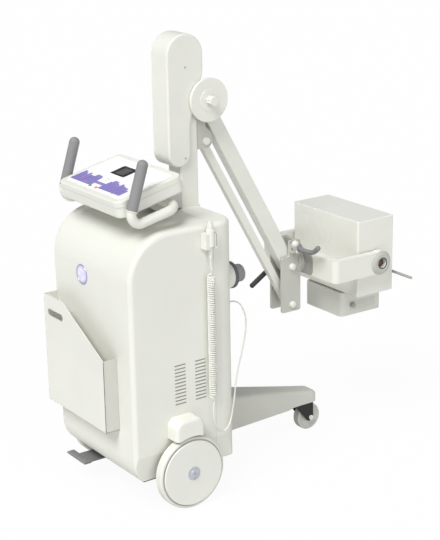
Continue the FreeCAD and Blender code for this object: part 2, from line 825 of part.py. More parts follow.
def chassis_tray():
    half = CABINET_HALF - SKIRT_TUCK - CABINET_WALL - TRAY_MARGIN
    rim = half + TRAY_RIM
    tray = block((-rim, rim), (TRAY_REAR, TRAY_FRONT), (TRAY_BOTTOM, TRAY_TOP))
    flange = block((-half, half), (TRAY_FRONT - TRAY_THICK, TRAY_FRONT), (TRAY_TOP, TRAY_TOP + TRAY_FLANGE))
    lugs = []
    for edge in (PEDAL_LEFT, PEDAL_RIGHT + PEDAL_LUG_THICK):
        lug = prism("X", [
            (PEDAL_SHAFT_Y - PEDAL_LUG_FOOT, TRAY_BOTTOM, 0),
            (PEDAL_SHAFT_Y + PEDAL_LUG_FOOT, TRAY_BOTTOM, 0),
            (PEDAL_SHAFT_Y + PEDAL_LUG_TIP, PEDAL_SHAFT_Z - PEDAL_LUG_TIP, PEDAL_LUG_BEND),
            (PEDAL_SHAFT_Y - PEDAL_LUG_TIP, PEDAL_SHAFT_Z - PEDAL_LUG_TIP, PEDAL_LUG_BEND),
        ], edge, edge + PEDAL_LUG_THICK)
        lugs.append(lug)
    tray = tray.fuse([flange] + lugs).removeSplitter()
    shaft = rod("X", PEDAL_LEFT - 1, PEDAL_RIGHT + PEDAL_SHAFT_REACH, (PEDAL_SHAFT_Y, PEDAL_SHAFT_Z),
                PEDAL_SHAFT_RADIUS + RUN_FIT)
    return tray.cut(shaft)


def rear_axle():
    end = HUB_CAP_X - HUB_CAP_HEIGHT / 2
    return rod("X", -end, end, (0, AXLE_Z), AXLE_RADIUS)


def axle_blocks():
    outer = CABINET_HALF - SKIRT_TUCK - CABINET_WALL - BLOCK_OFFSET + BLOCK_WIDTH / 2
    stand = prism("X", [
        (-BLOCK_DEPTH / 2, TRAY_TOP, 0),
        (BLOCK_DEPTH / 2, TRAY_TOP, 0),
        (BLOCK_DEPTH / 3, AXLE_Z + AXLE_RADIUS + BLOCK_CROWN, 8),
        (-BLOCK_DEPTH / 3, AXLE_Z + AXLE_RADIUS + BLOCK_CROWN, 8),
    ], outer - BLOCK_WIDTH, outer)
    bore = rod("X", 0, CABINET_HALF, (0, AXLE_Z), AXLE_RADIUS + RUN_FIT)
    return both_sides(stand.cut(bore))


# Rear wheels: a spoked-free disc, its tyre and the cap over the axle end
def wheel():
    inner = TYRE_INNER_X
    outer = TYRE_INNER_X + TYRE_WIDTH
    seat = WHEEL_RADIUS - TYRE_DEPTH
    rim = rod("X", inner + RIM_SETBACK, outer - RIM_SETBACK, (0, AXLE_Z), seat)
    rim = rim.cut(rod("X", inner, outer - WEB_THICK, (0, AXLE_Z), seat - RIM_THICK))
    hub = rod("X", inner, outer, (0, AXLE_Z), HUB_RADIUS)
    neck = rod("X", outer - WEB_THICK, outer + GROOVE_GAP, (0, AXLE_Z), DISC_RADIUS - TYRE_DEPTH)
    disc = taper("X", outer + GROOVE_GAP, DISC_OUTER_X, (0, AXLE_Z), DISC_RADIUS, DISC_RADIUS - DISC_DISH)
    body = rim.fuse([hub, neck, disc]).removeSplitter()
    return body.cut(rod("X", inner - 1, DISC_OUTER_X + 1, (0, AXLE_Z), AXLE_RADIUS + RUN_FIT))


def tyre():
    outer = TYRE_INNER_X + TYRE_WIDTH
    seat = WHEEL_RADIUS - TYRE_DEPTH
    band = prism("Y", [
        (TYRE_INNER_X, AXLE_Z + seat, 0),
        (outer, AXLE_Z + seat, 0),
        (outer, AXLE_Z + WHEEL_RADIUS, TYRE_EDGE),
        (TYRE_INNER_X, AXLE_Z + WHEEL_RADIUS, TYRE_EDGE),
    ], 0, 1)
    face = [f for f in band.Faces if abs(f.CenterOfMass.y) < RUN_FIT][0]
    return face.revolve(vec(0, 0, AXLE_Z), vec(1, 0, 0), 360)


def hub_cap():
    cap = taper("X", DISC_OUTER_X, HUB_CAP_X, (0, AXLE_Z), HUB_CAP_RADIUS, HUB_CAP_RADIUS - 2)
    socket = rod("X", DISC_OUTER_X - 1, HUB_CAP_X - HUB_CAP_HEIGHT / 2 + SEAT_GAP, (0, AXLE_Z),
                 AXLE_RADIUS + RUN_FIT)
    return cap.cut(socket)


def fender_hood(inset):
    outer = DISC_OUTER_X - inset
    hood = block((CABINET_HALF - inset / 2, outer), (FENDER_REAR + inset, FENDER_FRONT - inset),
                 (FENDER_SOLE_Z - inset, FENDER_TOP - inset))
    brow = [e for e in hood.Edges
            if e.BoundBox.ZMin > FENDER_TOP - inset - RUN_FIT and e.BoundBox.XLength > RUN_FIT]
    hood = hood.makeFillet(FENDER_CORNER - inset, brow)
    rim = [e for e in hood.Edges
           if e.BoundBox.XMin > outer - RUN_FIT and e.BoundBox.ZMax > FENDER_SOLE_Z + RUN_FIT]
    return hood.makeFillet(FENDER_EDGE - inset, rim)


def fenders():
    well = rod("X", CABINET_HALF - 1, DISC_OUTER_X + 1, (0, AXLE_Z), WHEEL_RADIUS + WHEEL_CLEARANCE)
    return both_sides(fender_hood(0).cut([fender_hood(FENDER_WALL), well]))


# Caster
def caster_fork():
    crown_low = LEG_SOLE_Z - SEAT_GAP - CROWN_THICK
    crown_top = LEG_SOLE_Z - SEAT_GAP
    crown = rod("Z", crown_low, crown_top, (0, SWIVEL_Y), CROWN_RADIUS)
    stem = rod("Z", crown_low, LEG_SOLE_Z + STEM_LENGTH, (0, SWIVEL_Y), STEM_RADIUS)
    toe = CASTER_RADIUS - CHEEK_TOE_BELOW
    cheek = prism("X", [
        (SWIVEL_Y - CHEEK_REAR, crown_top, CHEEK_LIP),
        (SWIVEL_Y - CHEEK_REAR, crown_low, CHEEK_HEEL),
        (CASTER_Y - CHEEK_TOE_BEHIND, toe, CHEEK_TOE),
        (CASTER_Y + CHEEK_TOE_AHEAD, toe, CHEEK_TOE),
        (SWIVEL_Y + CHEEK_LEAD, crown_top, CHEEK_LIP),
    ], CHEEK_INNER, CHEEK_INNER + CHEEK_THICK)
    bridge = block((-CHEEK_INNER - CHEEK_THICK, CHEEK_INNER + CHEEK_THICK),
                   (SWIVEL_Y - CHEEK_REAR + CHEEK_LIP, SWIVEL_Y + CHEEK_LEAD - BRIDGE_LEAD),
                   (crown_low + CHEEK_LIP, crown_top))
    body = crown.fuse([stem, cheek, mirrored(cheek), bridge]).removeSplitter()
    return body.cut(rod("X", -CROWN_RADIUS, CROWN_RADIUS, (CASTER_Y, CASTER_RADIUS),
                        CASTER_BOLT_RADIUS + RUN_FIT))


def caster_bolt():
    reach = CHEEK_INNER + CHEEK_THICK
    shank = rod("X", -reach, reach, (CASTER_Y, CASTER_RADIUS), CASTER_BOLT_RADIUS)
    head = rod("X", reach, reach + CASTER_HEAD_THICK, (CASTER_Y, CASTER_RADIUS), CASTER_HEAD_RADIUS)
    return shank.fuse([head, mirrored(head)]).removeSplitter()


def caster_wheel():
    half = CASTER_WIDTH / 2
    dish = half - ROLLER_DISH
    crown = half - ROLLER_CROWN_EDGE
    bore = CASTER_RADIUS + CASTER_BOLT_RADIUS + RUN_FIT
    rim = 2 * CASTER_RADIUS
    band = prism("Y", [
        (-half, bore, 0),
        (half, bore, 0),
        (half, CASTER_RADIUS + ROLLER_HUB, ROLLER_BEND),
        (dish, CASTER_RADIUS + ROLLER_DISH_START, ROLLER_BEND),
        (dish, rim - ROLLER_RIM, ROLLER_BEND),
        (half, rim - CASTER_TREAD, ROLLER_BEND),
        (crown, rim, ROLLER_CROWN_BEND),
        (-crown, rim, ROLLER_CROWN_BEND),
        (-half, rim - CASTER_TREAD, ROLLER_BEND),
        (-dish, rim - ROLLER_RIM, ROLLER_BEND),
        (-dish, CASTER_RADIUS + ROLLER_DISH_START, ROLLER_BEND),
        (-half, CASTER_RADIUS + ROLLER_HUB, ROLLER_BEND),
    ], CASTER_Y, CASTER_Y + 1)
    face = [f for f in band.Faces if abs(f.CenterOfMass.y - CASTER_Y) < RUN_FIT][0]
    return face.revolve(vec(0, CASTER_Y, CASTER_RADIUS), vec(1, 0, 0), 360)


# Column and what it carries
def column():
    foot_z = LEG_ROOT_TOP + FOOT_THICK
    post = prism("Z", rounded(-COLUMN_HALF, COLUMN_HALF, COLUMN_REAR, COLUMN_FRONT, COLUMN_EDGE),
                 foot_z, COLUMN_TOP)
    inner = COLUMN_HALF - COLUMN_WALL
    bore = prism("Z", rounded(-inner, inner, COLUMN_REAR + COLUMN_WALL, COLUMN_FRONT - COLUMN_WALL, 2),
                 foot_z, COLUMN_TOP + 1)
    middle = (COLUMN_REAR + COLUMN_FRONT) / 2
    rear = max(middle - FOOT_HALF, TRAY_FRONT)
    foot = prism("Z", rounded(-FOOT_HALF, FOOT_HALF, rear, LEG_SHOULDER_Y - 12, 8), LEG_ROOT_TOP, foot_z)
    return post.cut(bore).fuse(foot).removeSplitter()


def pivot_bracket():
    """Two cheeks on the column's forward face that hold the arm's and the tie rod's pins."""
    low = TIE_Z - BRACKET_NOSE
    high = PIVOT_Z + BRACKET_NOSE + BRACKET_PLATE
    nose = PIVOT_Y + BRACKET_NOSE
    cheek = prism("X", [
        (COLUMN_FRONT, low, 0),
        (nose, low, BRACKET_NOSE_BEND),
        (nose, TIE_Z + BRACKET_NOSE, BRACKET_NOSE_BEND),
        (PIVOT_Y, TIE_Z + 2 * BRACKET_NOSE, BRACKET_NOSE_BEND),
        (PIVOT_Y, PIVOT_Z - 2 * BRACKET_NOSE, BRACKET_NOSE_BEND),
        (nose, PIVOT_Z - BRACKET_NOSE, BRACKET_NOSE_BEND),
        (nose, high, BRACKET_NOSE_BEND),
        (COLUMN_FRONT, high, 0),
    ], BRACKET_INNER, BRACKET_OUTER)
    back = block((-BRACKET_OUTER, BRACKET_OUTER), (COLUMN_FRONT, COLUMN_FRONT + BRACKET_BACK_THICK),
                 (low, high))
    body = cheek.fuse([mirrored(cheek), back]).removeSplitter()
    bores = [rod("X", -COLUMN_HALF, COLUMN_HALF, (PIVOT_Y, level), PIN_RADIUS) for level in (PIVOT_Z, TIE_Z)]
    return body.cut(bores)


def pivot_pins():
    """The arm's pin, which also carries the friction disc and its stud, and the tie rod's pin."""
    upper = rod("X", -BRACKET_OUTER, DISC_INNER_X + PIVOT_DISC_THICK, (PIVOT_Y, PIVOT_Z), PIN_RADIUS)
    head = rod("X", -BRACKET_OUTER - BOLT_HEAD_THICK, -BRACKET_OUTER, (PIVOT_Y, PIVOT_Z), BOLT_HEAD_RADIUS)
    end_x = DISC_INNER_X + PIVOT_DISC_THICK
    stud = rod("X", end_x, end_x + LOCK_STUD_LENGTH, (PIVOT_Y, PIVOT_Z), LOCK_STUD_RADIUS)
    lower = rod("X", -BRACKET_OUTER, BRACKET_OUTER, (PIVOT_Y, TIE_Z), PIN_RADIUS)
    end = rod("X", BRACKET_OUTER, BRACKET_OUTER + BOLT_HEAD_THICK, (PIVOT_Y, TIE_Z), BOLT_HEAD_RADIUS)
    return Part.makeCompound([upper.fuse([head, stud]).removeSplitter(),
                              lower.fuse([end, mirrored(end)]).removeSplitter()])


def housing_body(inset):
    crown = (HOUSING_FRONT - HOUSING_REAR) / 2
    foot = (HOUSING_WAIST_Y - HOUSING_REAR) / 2
    rear = HOUSING_REAR + inset
    front = HOUSING_FRONT - inset
    waist = HOUSING_WAIST_Y - inset
    return prism("X", [
        (rear, HOUSING_BOTTOM + inset, foot - inset - 1),
        (waist, HOUSING_BOTTOM + inset, foot - inset - 1),
        (waist, HOUSING_NECK_LOW, HOUSING_NECK_BEND),
        (front, HOUSING_NECK_HIGH, HOUSING_NECK_BEND),
        (front, HOUSING_TOP - inset, crown - inset - 1),
        (rear, HOUSING_TOP - inset, crown - inset - 1),
    ], -HOUSING_HALF + inset, HOUSING_HALF - inset)


def spring_housing():
    outer = housing_body(0)
    rims = [e for e in outer.Edges
            if all(abs(abs(v.Point.x) - HOUSING_HALF) < RUN_FIT for v in e.Vertexes)
            and e.BoundBox.XLength < RUN_FIT]
    outer = outer.makeFillet(HOUSING_EDGE, rims)
    shell = outer.cut(housing_body(HOUSING_WALL))
    column_way = block((-COLUMN_HALF - SEAT_GAP, COLUMN_HALF + SEAT_GAP),
                       (COLUMN_REAR - SEAT_GAP, HOUSING_FRONT + 1),
                       (HOUSING_BOTTOM - 1, COLUMN_TOP + SEAT_GAP))
    pin_way = block((BRACKET_OUTER, HOUSING_HALF + 1),
                    (PIVOT_Y - 2 * PIN_RADIUS, HOUSING_FRONT + 1),
                    (PIVOT_Z - 2 * PIN_RADIUS, PIVOT_Z + 2 * PIN_RADIUS))
    return shell.cut([column_way, pin_way, mirrored(pin_way)])


def spring_cartridge():
    """The closed spring unit inside the column that balances the arm, with its rod and end plate."""
    middle = (COLUMN_REAR + COLUMN_FRONT) / 2
    half = COLUMN_HALF - COLUMN_WALL
    plate = prism("Z", rounded(-half, half, COLUMN_REAR + COLUMN_WALL, COLUMN_FRONT - COLUMN_WALL, 2),
                  SPRING_BOTTOM - SPRING_PLATE_THICK, SPRING_BOTTOM)
    can = rod("Z", SPRING_BOTTOM, SPRING_TOP, (0, middle), SPRING_RADIUS)
    cap = taper("Z", SPRING_TOP, SPRING_TOP + SPRING_PLATE_THICK, (0, middle), SPRING_RADIUS,
                SPRING_RADIUS / 2)
    shaft = rod("Z", SPRING_TOP, SPRING_TOP + SPRING_ROD_REACH, (0, middle), SPRING_ROD_RADIUS)
    eye = rod("X", -SPRING_ROD_RADIUS, SPRING_ROD_RADIUS, (middle, SPRING_TOP + SPRING_ROD_REACH),
              2 * SPRING_ROD_RADIUS)
    return plate.fuse([can, cap, shaft, eye]).removeSplitter()


# Arm, tie rod and fork: one parallelogram
def along_arm(shape):
    """Swing a piece built straight forwards from the pivot down to the arm's angle at rest."""
    return turned(shape, -ARM_ANGLE, vec(0, PIVOT_Y, PIVOT_Z), vec(1, 0, 0))


def arm_beam():
    far = PIVOT_Y + ARM_LENGTH
    half = ARM_DEPTH / 2
    beam = prism("X", rounded(PIVOT_Y - half, far + half, PIVOT_Z - half, PIVOT_Z + half, half - RUN_FIT),
                 -ARM_HALF, ARM_HALF)
    long_edges = [e for e in beam.Edges
                  if e.BoundBox.YLength > ARM_LENGTH / 2 and abs(abs(e.CenterOfMass.x) - ARM_HALF) < 1]
    beam = beam.makeFillet(ARM_EDGE, long_edges)
    hollow = block((-ARM_HALF + ARM_WALL, ARM_HALF - ARM_WALL),
                   (PIVOT_Y + 2 * half, far - 2 * half),
                   (PIVOT_Z - half + ARM_WALL, PIVOT_Z + half - ARM_WALL))
    bores = [rod("X", -ARM_HALF - 1, ARM_HALF + 1, (PIVOT_Y, PIVOT_Z), PIN_RADIUS + RUN_FIT),
             rod("X", -ARM_HALF - 1, ARM_HALF + 1, (far, PIVOT_Z), BOLT_RADIUS + RUN_FIT)]
    return along_arm(beam.cut([hollow] + bores))


def tie_rod():
    far = PIVOT_Y + ARM_LENGTH
    half = TIE_DEPTH / 2
    bar = prism("X", rounded(PIVOT_Y - TIE_END_RADIUS, far + TIE_END_RADIUS, TIE_Z - half, TIE_Z + half,
                             half - 1), -TIE_HALF, TIE_HALF)
    bores = [rod("X", -TIE_HALF - 1, TIE_HALF + 1, (PIVOT_Y, TIE_Z), PIN_RADIUS + RUN_FIT),
             rod("X", -TIE_HALF - 1, TIE_HALF + 1, (far, TIE_Z), BOLT_RADIUS + OPEN_PIVOT_GAP)]
    return turned(bar.cut(bores), -ARM_ANGLE, vec(0, PIVOT_Y, TIE_Z), vec(1, 0, 0))


def pivot_disc():
    """The friction disc on the arm's pin, outside the spring housing."""
    back = rod("X", DISC_INNER_X, DISC_INNER_X + PIVOT_DISC_THICK - PIVOT_DISC_STEP, (PIVOT_Y, PIVOT_Z),
               PIVOT_DISC_RADIUS)
    edge = [e for e in back.Edges if e.BoundBox.XMin > DISC_INNER_X + PIVOT_DISC_STEP]
    back = back.makeFillet(PIVOT_DISC_STEP, edge)
    face = rod("X", DISC_INNER_X, DISC_INNER_X + PIVOT_DISC_THICK, (PIVOT_Y, PIVOT_Z), PIVOT_DISC_RADIUS / 2)
    return back.fuse(face).removeSplitter().cut(
        rod("X", 0, DISC_OUTER_X, (PIVOT_Y, PIVOT_Z), PIN_RADIUS + RUN_FIT))


def lock_knob():
    start = DISC_INNER_X + PIVOT_DISC_THICK + SEAT_GAP
    knob = lobed("X", start, start + LOCK_KNOB_LENGTH, (PIVOT_Y, PIVOT_Z), LOCK_KNOB_RADIUS, LOCK_KNOB_LOBES)
    return knob.cut(rod("X", start - 1, start + LOCK_STUD_LENGTH, (PIVOT_Y, PIVOT_Z),
                        LOCK_STUD_RADIUS + RUN_FIT))


def lobed(axis, start, end, across, radius, lobes):
    """A knob with scalloped sides."""
    body = rod(axis, start, end, across, radius)
    rim = [e for e in body.Edges if len(e.Vertexes) == 1]
    body = body.makeFillet(radius * LOBE_EDGE_SHARE, rim)
    reach = radius * LOBE_PLACE_SHARE
    cuts = []
    for i in range(lobes):
        angle = 2 * math.pi * i / lobes
        spot = (across[0] + reach * math.cos(angle), across[1] + reach * math.sin(angle))
        cuts.append(rod(axis, start - 1, end + 1, spot, radius * LOBE_DEPTH_SHARE))
    return body.cut(cuts)


def fork_bracket():
    """Two plates and a front web around the arm's end, with the swivel flange and the lock housing."""
    plate = prism("X", [
        (FORK_REAR, FORK_BOTTOM, FORK_CORNER),
        (FORK_FRONT, FORK_BOTTOM, FORK_CORNER),
        (FORK_FRONT, LOCK_BLOCK_TOP, FORK_CORNER),
        (LOCK_BLOCK_REAR, LOCK_BLOCK_TOP, FORK_CORNER),
        (LOCK_BLOCK_REAR, FORK_TOP, FORK_CORNER),
        (FORK_REAR, FORK_TOP, FORK_CORNER),
    ], FORK_INNER, FORK_OUTER)
    web = block((-FORK_INNER, FORK_INNER), (FORK_FRONT - FORK_WEB, FORK_FRONT),
                (TIE_END_Z + WEB_RISE, FORK_TOP))
    flange = rod("Y", FORK_FRONT - FORK_WEB, FORK_FRONT + FLANGE_THICK, (0, ROLL_Z), FLANGE_RADIUS)
    lock = block((-FORK_INNER, FORK_INNER), (LOCK_BLOCK_BACK, FORK_FRONT - FORK_CORNER / 2),
                 (FORK_TOP, LOCK_BLOCK_TOP - FORK_CORNER / 2))
    ear = block((FORK_OUTER, EAR_OUTER), (LOCK_BLOCK_REAR, LOCK_BLOCK_REAR + EAR_THICK),
                (EAR_BOTTOM, EAR_TOP))
    ear = ear.makeFillet(FORK_CORNER, [e for e in ear.Edges if e.BoundBox.XMin > EAR_OUTER - RUN_FIT
                                       and e.BoundBox.YLength > RUN_FIT])
    body = plate.fuse([mirrored(plate), web, flange, lock, ear]).removeSplitter()
    bores = [rod("X", -COLUMN_HALF, COLUMN_HALF, (FORK_Y, level), BOLT_RADIUS)
             for level in (FORK_Z, TIE_END_Z)]
    spigot = rod("Y", FORK_FRONT - FORK_WEB - 1, FORK_FRONT + FLANGE_THICK + 1, (0, ROLL_Z),
                 SPIGOT_RADIUS + RUN_FIT)
    pin = rod("Y", LOCK_BLOCK_REAR - 1, LOCK_BLOCK_REAR + EAR_THICK + 1, (SWIVEL_LEVER_X, SWIVEL_LEVER_Z),
              LEVER_PIN_RADIUS + RUN_FIT)
    return body.cut([spigot, pin] + bores)


def fork_bolts():
    """The bolts at the ends of the arm and of the tie rod; the upper one carries the lift lever."""
    bolts = []
    for level in (FORK_Z, TIE_END_Z):
        shank = rod("X", -FORK_OUTER, FORK_OUTER, (FORK_Y, level), BOLT_RADIUS)
        head = rod("X", FORK_OUTER, FORK_OUTER + BOLT_HEAD_THICK, (FORK_Y, level), BOLT_HEAD_RADIUS)
        head = head.makeFillet(BOLT_HEAD_EDGE, [e for e in head.Edges if e.BoundBox.XMin > FORK_OUTER + 1
                                   and len(e.Vertexes) == 1])
        extra = [head, mirrored(head)]
        if level == FORK_Z:
            start = -FORK_OUTER - BOLT_HEAD_THICK
            extra.append(rod("X", start - LEVER_PIN_LENGTH, start, (FORK_Y, level), LEVER_PIN_RADIUS))
        bolts.append(shank.fuse(extra).removeSplitter())
    return Part.makeCompound(bolts)


def bent_lever(points, radius):
    """A round lever with a rounded end along a bent line."""
    nodes = [vec(*point) for point in points]
    stick, _ = pipe(nodes, largest_bends(nodes), radius)
    tip = [e for e in stick.Edges if e.Length > radius and e.BoundBox.Center.distanceToPoint(nodes[-1]) < 1]
    return stick.makeFillet(radius * LEVER_TIP, tip)


def lift_lever():
    hub_x = -FORK_OUTER - BOLT_HEAD_THICK - SEAT_GAP
    drop = math.radians(LIFT_LEVER_DROP)
    hub_half = LIFT_LEVER_RADIUS + LIFT_HUB_MARGIN
    hub = rod("X", hub_x - 2 * hub_half, hub_x, (FORK_Y, FORK_Z), LEVER_HUB_RADIUS)
    bore = rod("X", hub_x - LEVER_PIN_LENGTH, hub_x + 1, (FORK_Y, FORK_Z), LEVER_PIN_RADIUS + RUN_FIT)
    middle = hub_x - hub_half
    back = LIFT_LEVER_REACH * math.cos(drop)
    down = LIFT_LEVER_REACH * math.sin(drop)
    stick = bent_lever([
        (middle, FORK_Y, FORK_Z),
        (middle, FORK_Y - back, FORK_Z - down),
    ], LIFT_LEVER_RADIUS)
    return stick.fuse(hub).removeSplitter().cut(bore)


def swivel_lever():
    x0 = SWIVEL_LEVER_X
    y0 = LOCK_BLOCK_REAR + EAR_THICK + SEAT_GAP
    y1 = SWIVEL_LEVER_Y + (SWIVEL_LEVER_Y - y0)
    hub = rod("Y", y0, y1, (x0, SWIVEL_LEVER_Z), LEVER_HUB_RADIUS)
    hub = hub.makeFillet(LEVER_HUB_RADIUS / 3, [e for e in hub.Edges if e.BoundBox.YMin > y1 - RUN_FIT])
    pin = rod("Y", LOCK_BLOCK_REAR, y0, (x0, SWIVEL_LEVER_Z), LEVER_PIN_RADIUS)
    stick = bent_lever([
        (x0, SWIVEL_LEVER_Y, SWIVEL_LEVER_Z),
        (x0 + SWIVEL_LEVER_REACH * SWIVEL_LEVER_BENDS[0], SWIVEL_LEVER_Y, SWIVEL_LEVER_Z - SWIVEL_LEVER_SAG),
        (x0 + SWIVEL_LEVER_REACH * SWIVEL_LEVER_BENDS[1], SWIVEL_LEVER_Y, SWIVEL_LEVER_Z + SWIVEL_LEVER_SAG),
        (x0 + SWIVEL_LEVER_REACH, SWIVEL_LEVER_Y, SWIVEL_LEVER_Z + SWIVEL_LEVER_RISE),
    ], LEVER_RADIUS)
    return stick.fuse([hub, pin]).removeSplitter()


# Yoke and head
def yoke():
    low = ROLL_Z - YOKE_HALF_HEIGHT
    high = ROLL_Z + YOKE_HALF_HEIGHT
    tip = TRUNNION_Y
    plan = prism("Z", [
        (-YOKE_OUTER, tip, 0),
        (-YOKE_OUTER, YOKE_REAR, YOKE_CORNER),
        (YOKE_OUTER, YOKE_REAR, YOKE_CORNER),
        (YOKE_OUTER, tip, 0),
        (YOKE_INNER, tip, 0),
        (YOKE_INNER, YOKE_REAR + YOKE_BAR_DEPTH, YOKE_CORNER / 3),
        (-YOKE_INNER, YOKE_REAR + YOKE_BAR_DEPTH, YOKE_CORNER / 3),
        (-YOKE_INNER, tip, 0),
    ], low, high)
    hub = rod("X", YOKE_INNER, YOKE_OUTER + YOKE_HUB_STEP, (TRUNNION_Y, ROLL_Z), YOKE_HUB_RADIUS)
    cone = taper("X", YOKE_OUTER + YOKE_HUB_STEP, YOKE_OUTER + YOKE_HUB_PROUD, (TRUNNION_Y, ROLL_Z),
                 YOKE_HUB_RADIUS, YOKE_HUB_FACE)
    hub = hub.fuse(cone)
    flange = rod("Y", FORK_FRONT + FLANGE_THICK + SEAT_GAP, YOKE_REAR, (0, ROLL_Z), FLANGE_RADIUS)
    spigot = rod("Y", FORK_FRONT - FORK_WEB + 1, YOKE_REAR, (0, ROLL_Z), SPIGOT_RADIUS)
    body = plan.fuse([hub, mirrored(hub), flange, spigot]).removeSplitter()
    deep = YOKE_OUTER - TRUNNION_SHORT + SEAT_GAP
    bore = rod("X", -deep, deep, (TRUNNION_Y, ROLL_Z), TRUNNION_RADIUS + RUN_FIT)
    hole = rod("X", -2 * YOKE_OUTER, 2 * YOKE_OUTER, (TRUNNION_Y, ROLL_Z), YOKE_HUB_HOLE)
    return body.cut([bore, hole])


def head_body(inset):
    return prism("Z", rounded(-HEAD_HALF + inset, HEAD_HALF - inset, HEAD_REAR + inset, HEAD_FRONT - inset,
                              HEAD_EDGE - inset / 2), HEAD_BOTTOM + inset, HEAD_TOP - inset)


def head_housing():
    outer = head_body(0)
    lid = block((-HEAD_HALF, HEAD_HALF), (HEAD_REAR, HEAD_FRONT), (HEAD_SEAM, HEAD_TOP))
    shell = outer.cut([head_body(HEAD_WALL), lid])
    trunnion = rod("X", HEAD_HALF - HEAD_WALL, YOKE_OUTER - TRUNNION_SHORT, (TRUNNION_Y, ROLL_Z),
                   TRUNNION_RADIUS)
    boss = rod("X", HEAD_HALF, YOKE_INNER - SEAT_GAP, (TRUNNION_Y, ROLL_Z), TRUNNION_RADIUS * BOSS_SHARE)
    middle = (COLL_REAR + COLL_FRONT) / 2
    collar = rod("Z", HEAD_BOTTOM - COLLAR_THICK, HEAD_BOTTOM, (0, middle), COLLAR_RADIUS)
    port = rod("Z", HEAD_BOTTOM - COLLAR_THICK - 1, HEAD_BOTTOM + HEAD_WALL + 1, (0, middle),
               COLLAR_RADIUS / 2)
    body = shell.fuse([trunnion, mirrored(trunnion), boss, mirrored(boss), collar]).removeSplitter()
    return body.cut(port)


def head_lid():
    outer = head_body(0)
    rims = [e for e in outer.Edges if e.BoundBox.ZMin > HEAD_TOP - RUN_FIT]
    outer = outer.makeFillet(HEAD_LID_EDGE, rims)
    above = block((-HEAD_HALF, HEAD_HALF), (HEAD_REAR, HEAD_FRONT), (HEAD_SEAM, HEAD_TOP))
    return outer.common(above).cut(head_body(HEAD_WALL))


def tube_insert():
    """The vacuum tube lying across the head in its end blocks."""
    middle = (COLL_REAR + COLL_FRONT) / 2
    level = HEAD_BOTTOM + HEAD_WALL + TUBE_RADIUS + TUBE_LIFT
    glass = rod("X", -TUBE_HALF, TUBE_HALF, (middle, level), TUBE_RADIUS)
    glass = glass.makeFillet(TUBE_RADIUS / 2, [e for e in glass.Edges if len(e.Vertexes) == 1])
    neck = rod("X", -TUBE_HALF - TUBE_NECK, TUBE_HALF + TUBE_NECK, (middle, level), TUBE_RADIUS / 2)
    foot = block((-TUBE_HALF - TUBE_NECK, -TUBE_HALF - TUBE_NECK + TUBE_FOOT),
                 (middle - TUBE_FOOT_HALF, middle + TUBE_FOOT_HALF), (HEAD_BOTTOM + HEAD_WALL, level))
    return glass.fuse([neck, foot, mirrored(foot)]).removeSplitter()


def head_handle():
    bar = rod("X", -HEAD_HALF / 2, HANDLE_END_X - HANDLE_RADIUS, (HANDLE_Y, HANDLE_Z), HANDLE_RADIUS)
    tip = Part.makeSphere(HANDLE_RADIUS, vec(HANDLE_END_X - HANDLE_RADIUS, HANDLE_Y, HANDLE_Z))
    stands = [rod("Y", HEAD_FRONT, HANDLE_Y, (x, HANDLE_Z), HANDLE_STAND_RADIUS)
              for x in (-HEAD_HALF / 2 + HANDLE_STAND_LEFT, HEAD_HALF - HANDLE_STAND_RIGHT)]
    return bar.fuse([tip] + stands).removeSplitter()


def collimator_top():
    return HEAD_BOTTOM - COLLAR_THICK - SEAT_GAP


def collimator_body():
    top = collimator_top()
    outer = prism("Z", rounded(-COLL_HALF_X, COLL_HALF_X, COLL_REAR, COLL_FRONT, COLL_CORNER),
                  COLL_BOTTOM, top)
    inner = prism("Z", rounded(COLL_WALL - COLL_HALF_X, COLL_HALF_X - COLL_WALL, COLL_REAR + COLL_WALL,
                               COLL_FRONT - COLL_WALL, COLL_CORNER - COLL_WALL),
                  COLL_BOTTOM + COLL_WALL, top - COLL_WALL)
    middle = (COLL_REAR + COLL_FRONT) / 2
    port = rod("Z", top - COLL_WALL - 1, top + 1, (0, middle), COLLAR_RADIUS / 2)
    window = prism("Z", rounded(-WINDOW_HALF, WINDOW_HALF, middle - WINDOW_HALF, middle + WINDOW_HALF,
                                WINDOW_CORNER), COLL_BOTTOM - 1, COLL_BOTTOM + COLL_WALL + 1)
    spindle = rod("X", COLL_HALF_X - COLL_WALL - 1, COLL_HALF_X + 1, (FIELD_KNOB_Y, FIELD_KNOB_Z),
                  FIELD_SPINDLE_RADIUS + RUN_FIT)
    return outer.cut([inner, port, window, spindle])


def beam_window():
    middle = (COLL_REAR + COLL_FRONT) / 2
    reach = WINDOW_HALF - RUN_FIT
    return prism("Z", rounded(-reach, reach, middle - reach, middle + reach, WINDOW_CORNER), COLL_BOTTOM,
                 COLL_BOTTOM + WINDOW_THICK)


def blades():
    """Two pairs of lead leaves above the window."""
    middle = (COLL_REAR + COLL_FRONT) / 2
    low = COLL_BOTTOM + COLL_WALL
    top = low + LEAF_LIFT + LEAF_THICK
    span = (middle - WINDOW_HALF, middle + WINDOW_HALF)
    leaf = block((LEAF_INNER, LEAF_FRAME), span, (top - LEAF_THICK, top))
    cross_low = low + CROSS_LEAF_LIFT
    pieces = [mirrored(leaf)]
    for side in (-1, 1):
        inner = middle + side * CROSS_LEAF_INNER
        outer = middle + side * (WINDOW_HALF + LEAF_POST)
        pieces.append(block((-CROSS_LEAF_HALF, CROSS_LEAF_HALF), (min(inner, outer), max(inner, outer)),
                            (cross_low, cross_low + LEAF_THICK)))
        rail = sorted((outer, outer - side * LEAF_POST))
        pieces.append(block((-LEAF_FRAME, LEAF_FRAME), rail, (cross_low, top)))
        for x in (-LEAF_FRAME, LEAF_FRAME - LEAF_POST):
            pieces.append(block((x, x + LEAF_POST), rail, (low, top)))
    return leaf.fuse(pieces).removeSplitter()


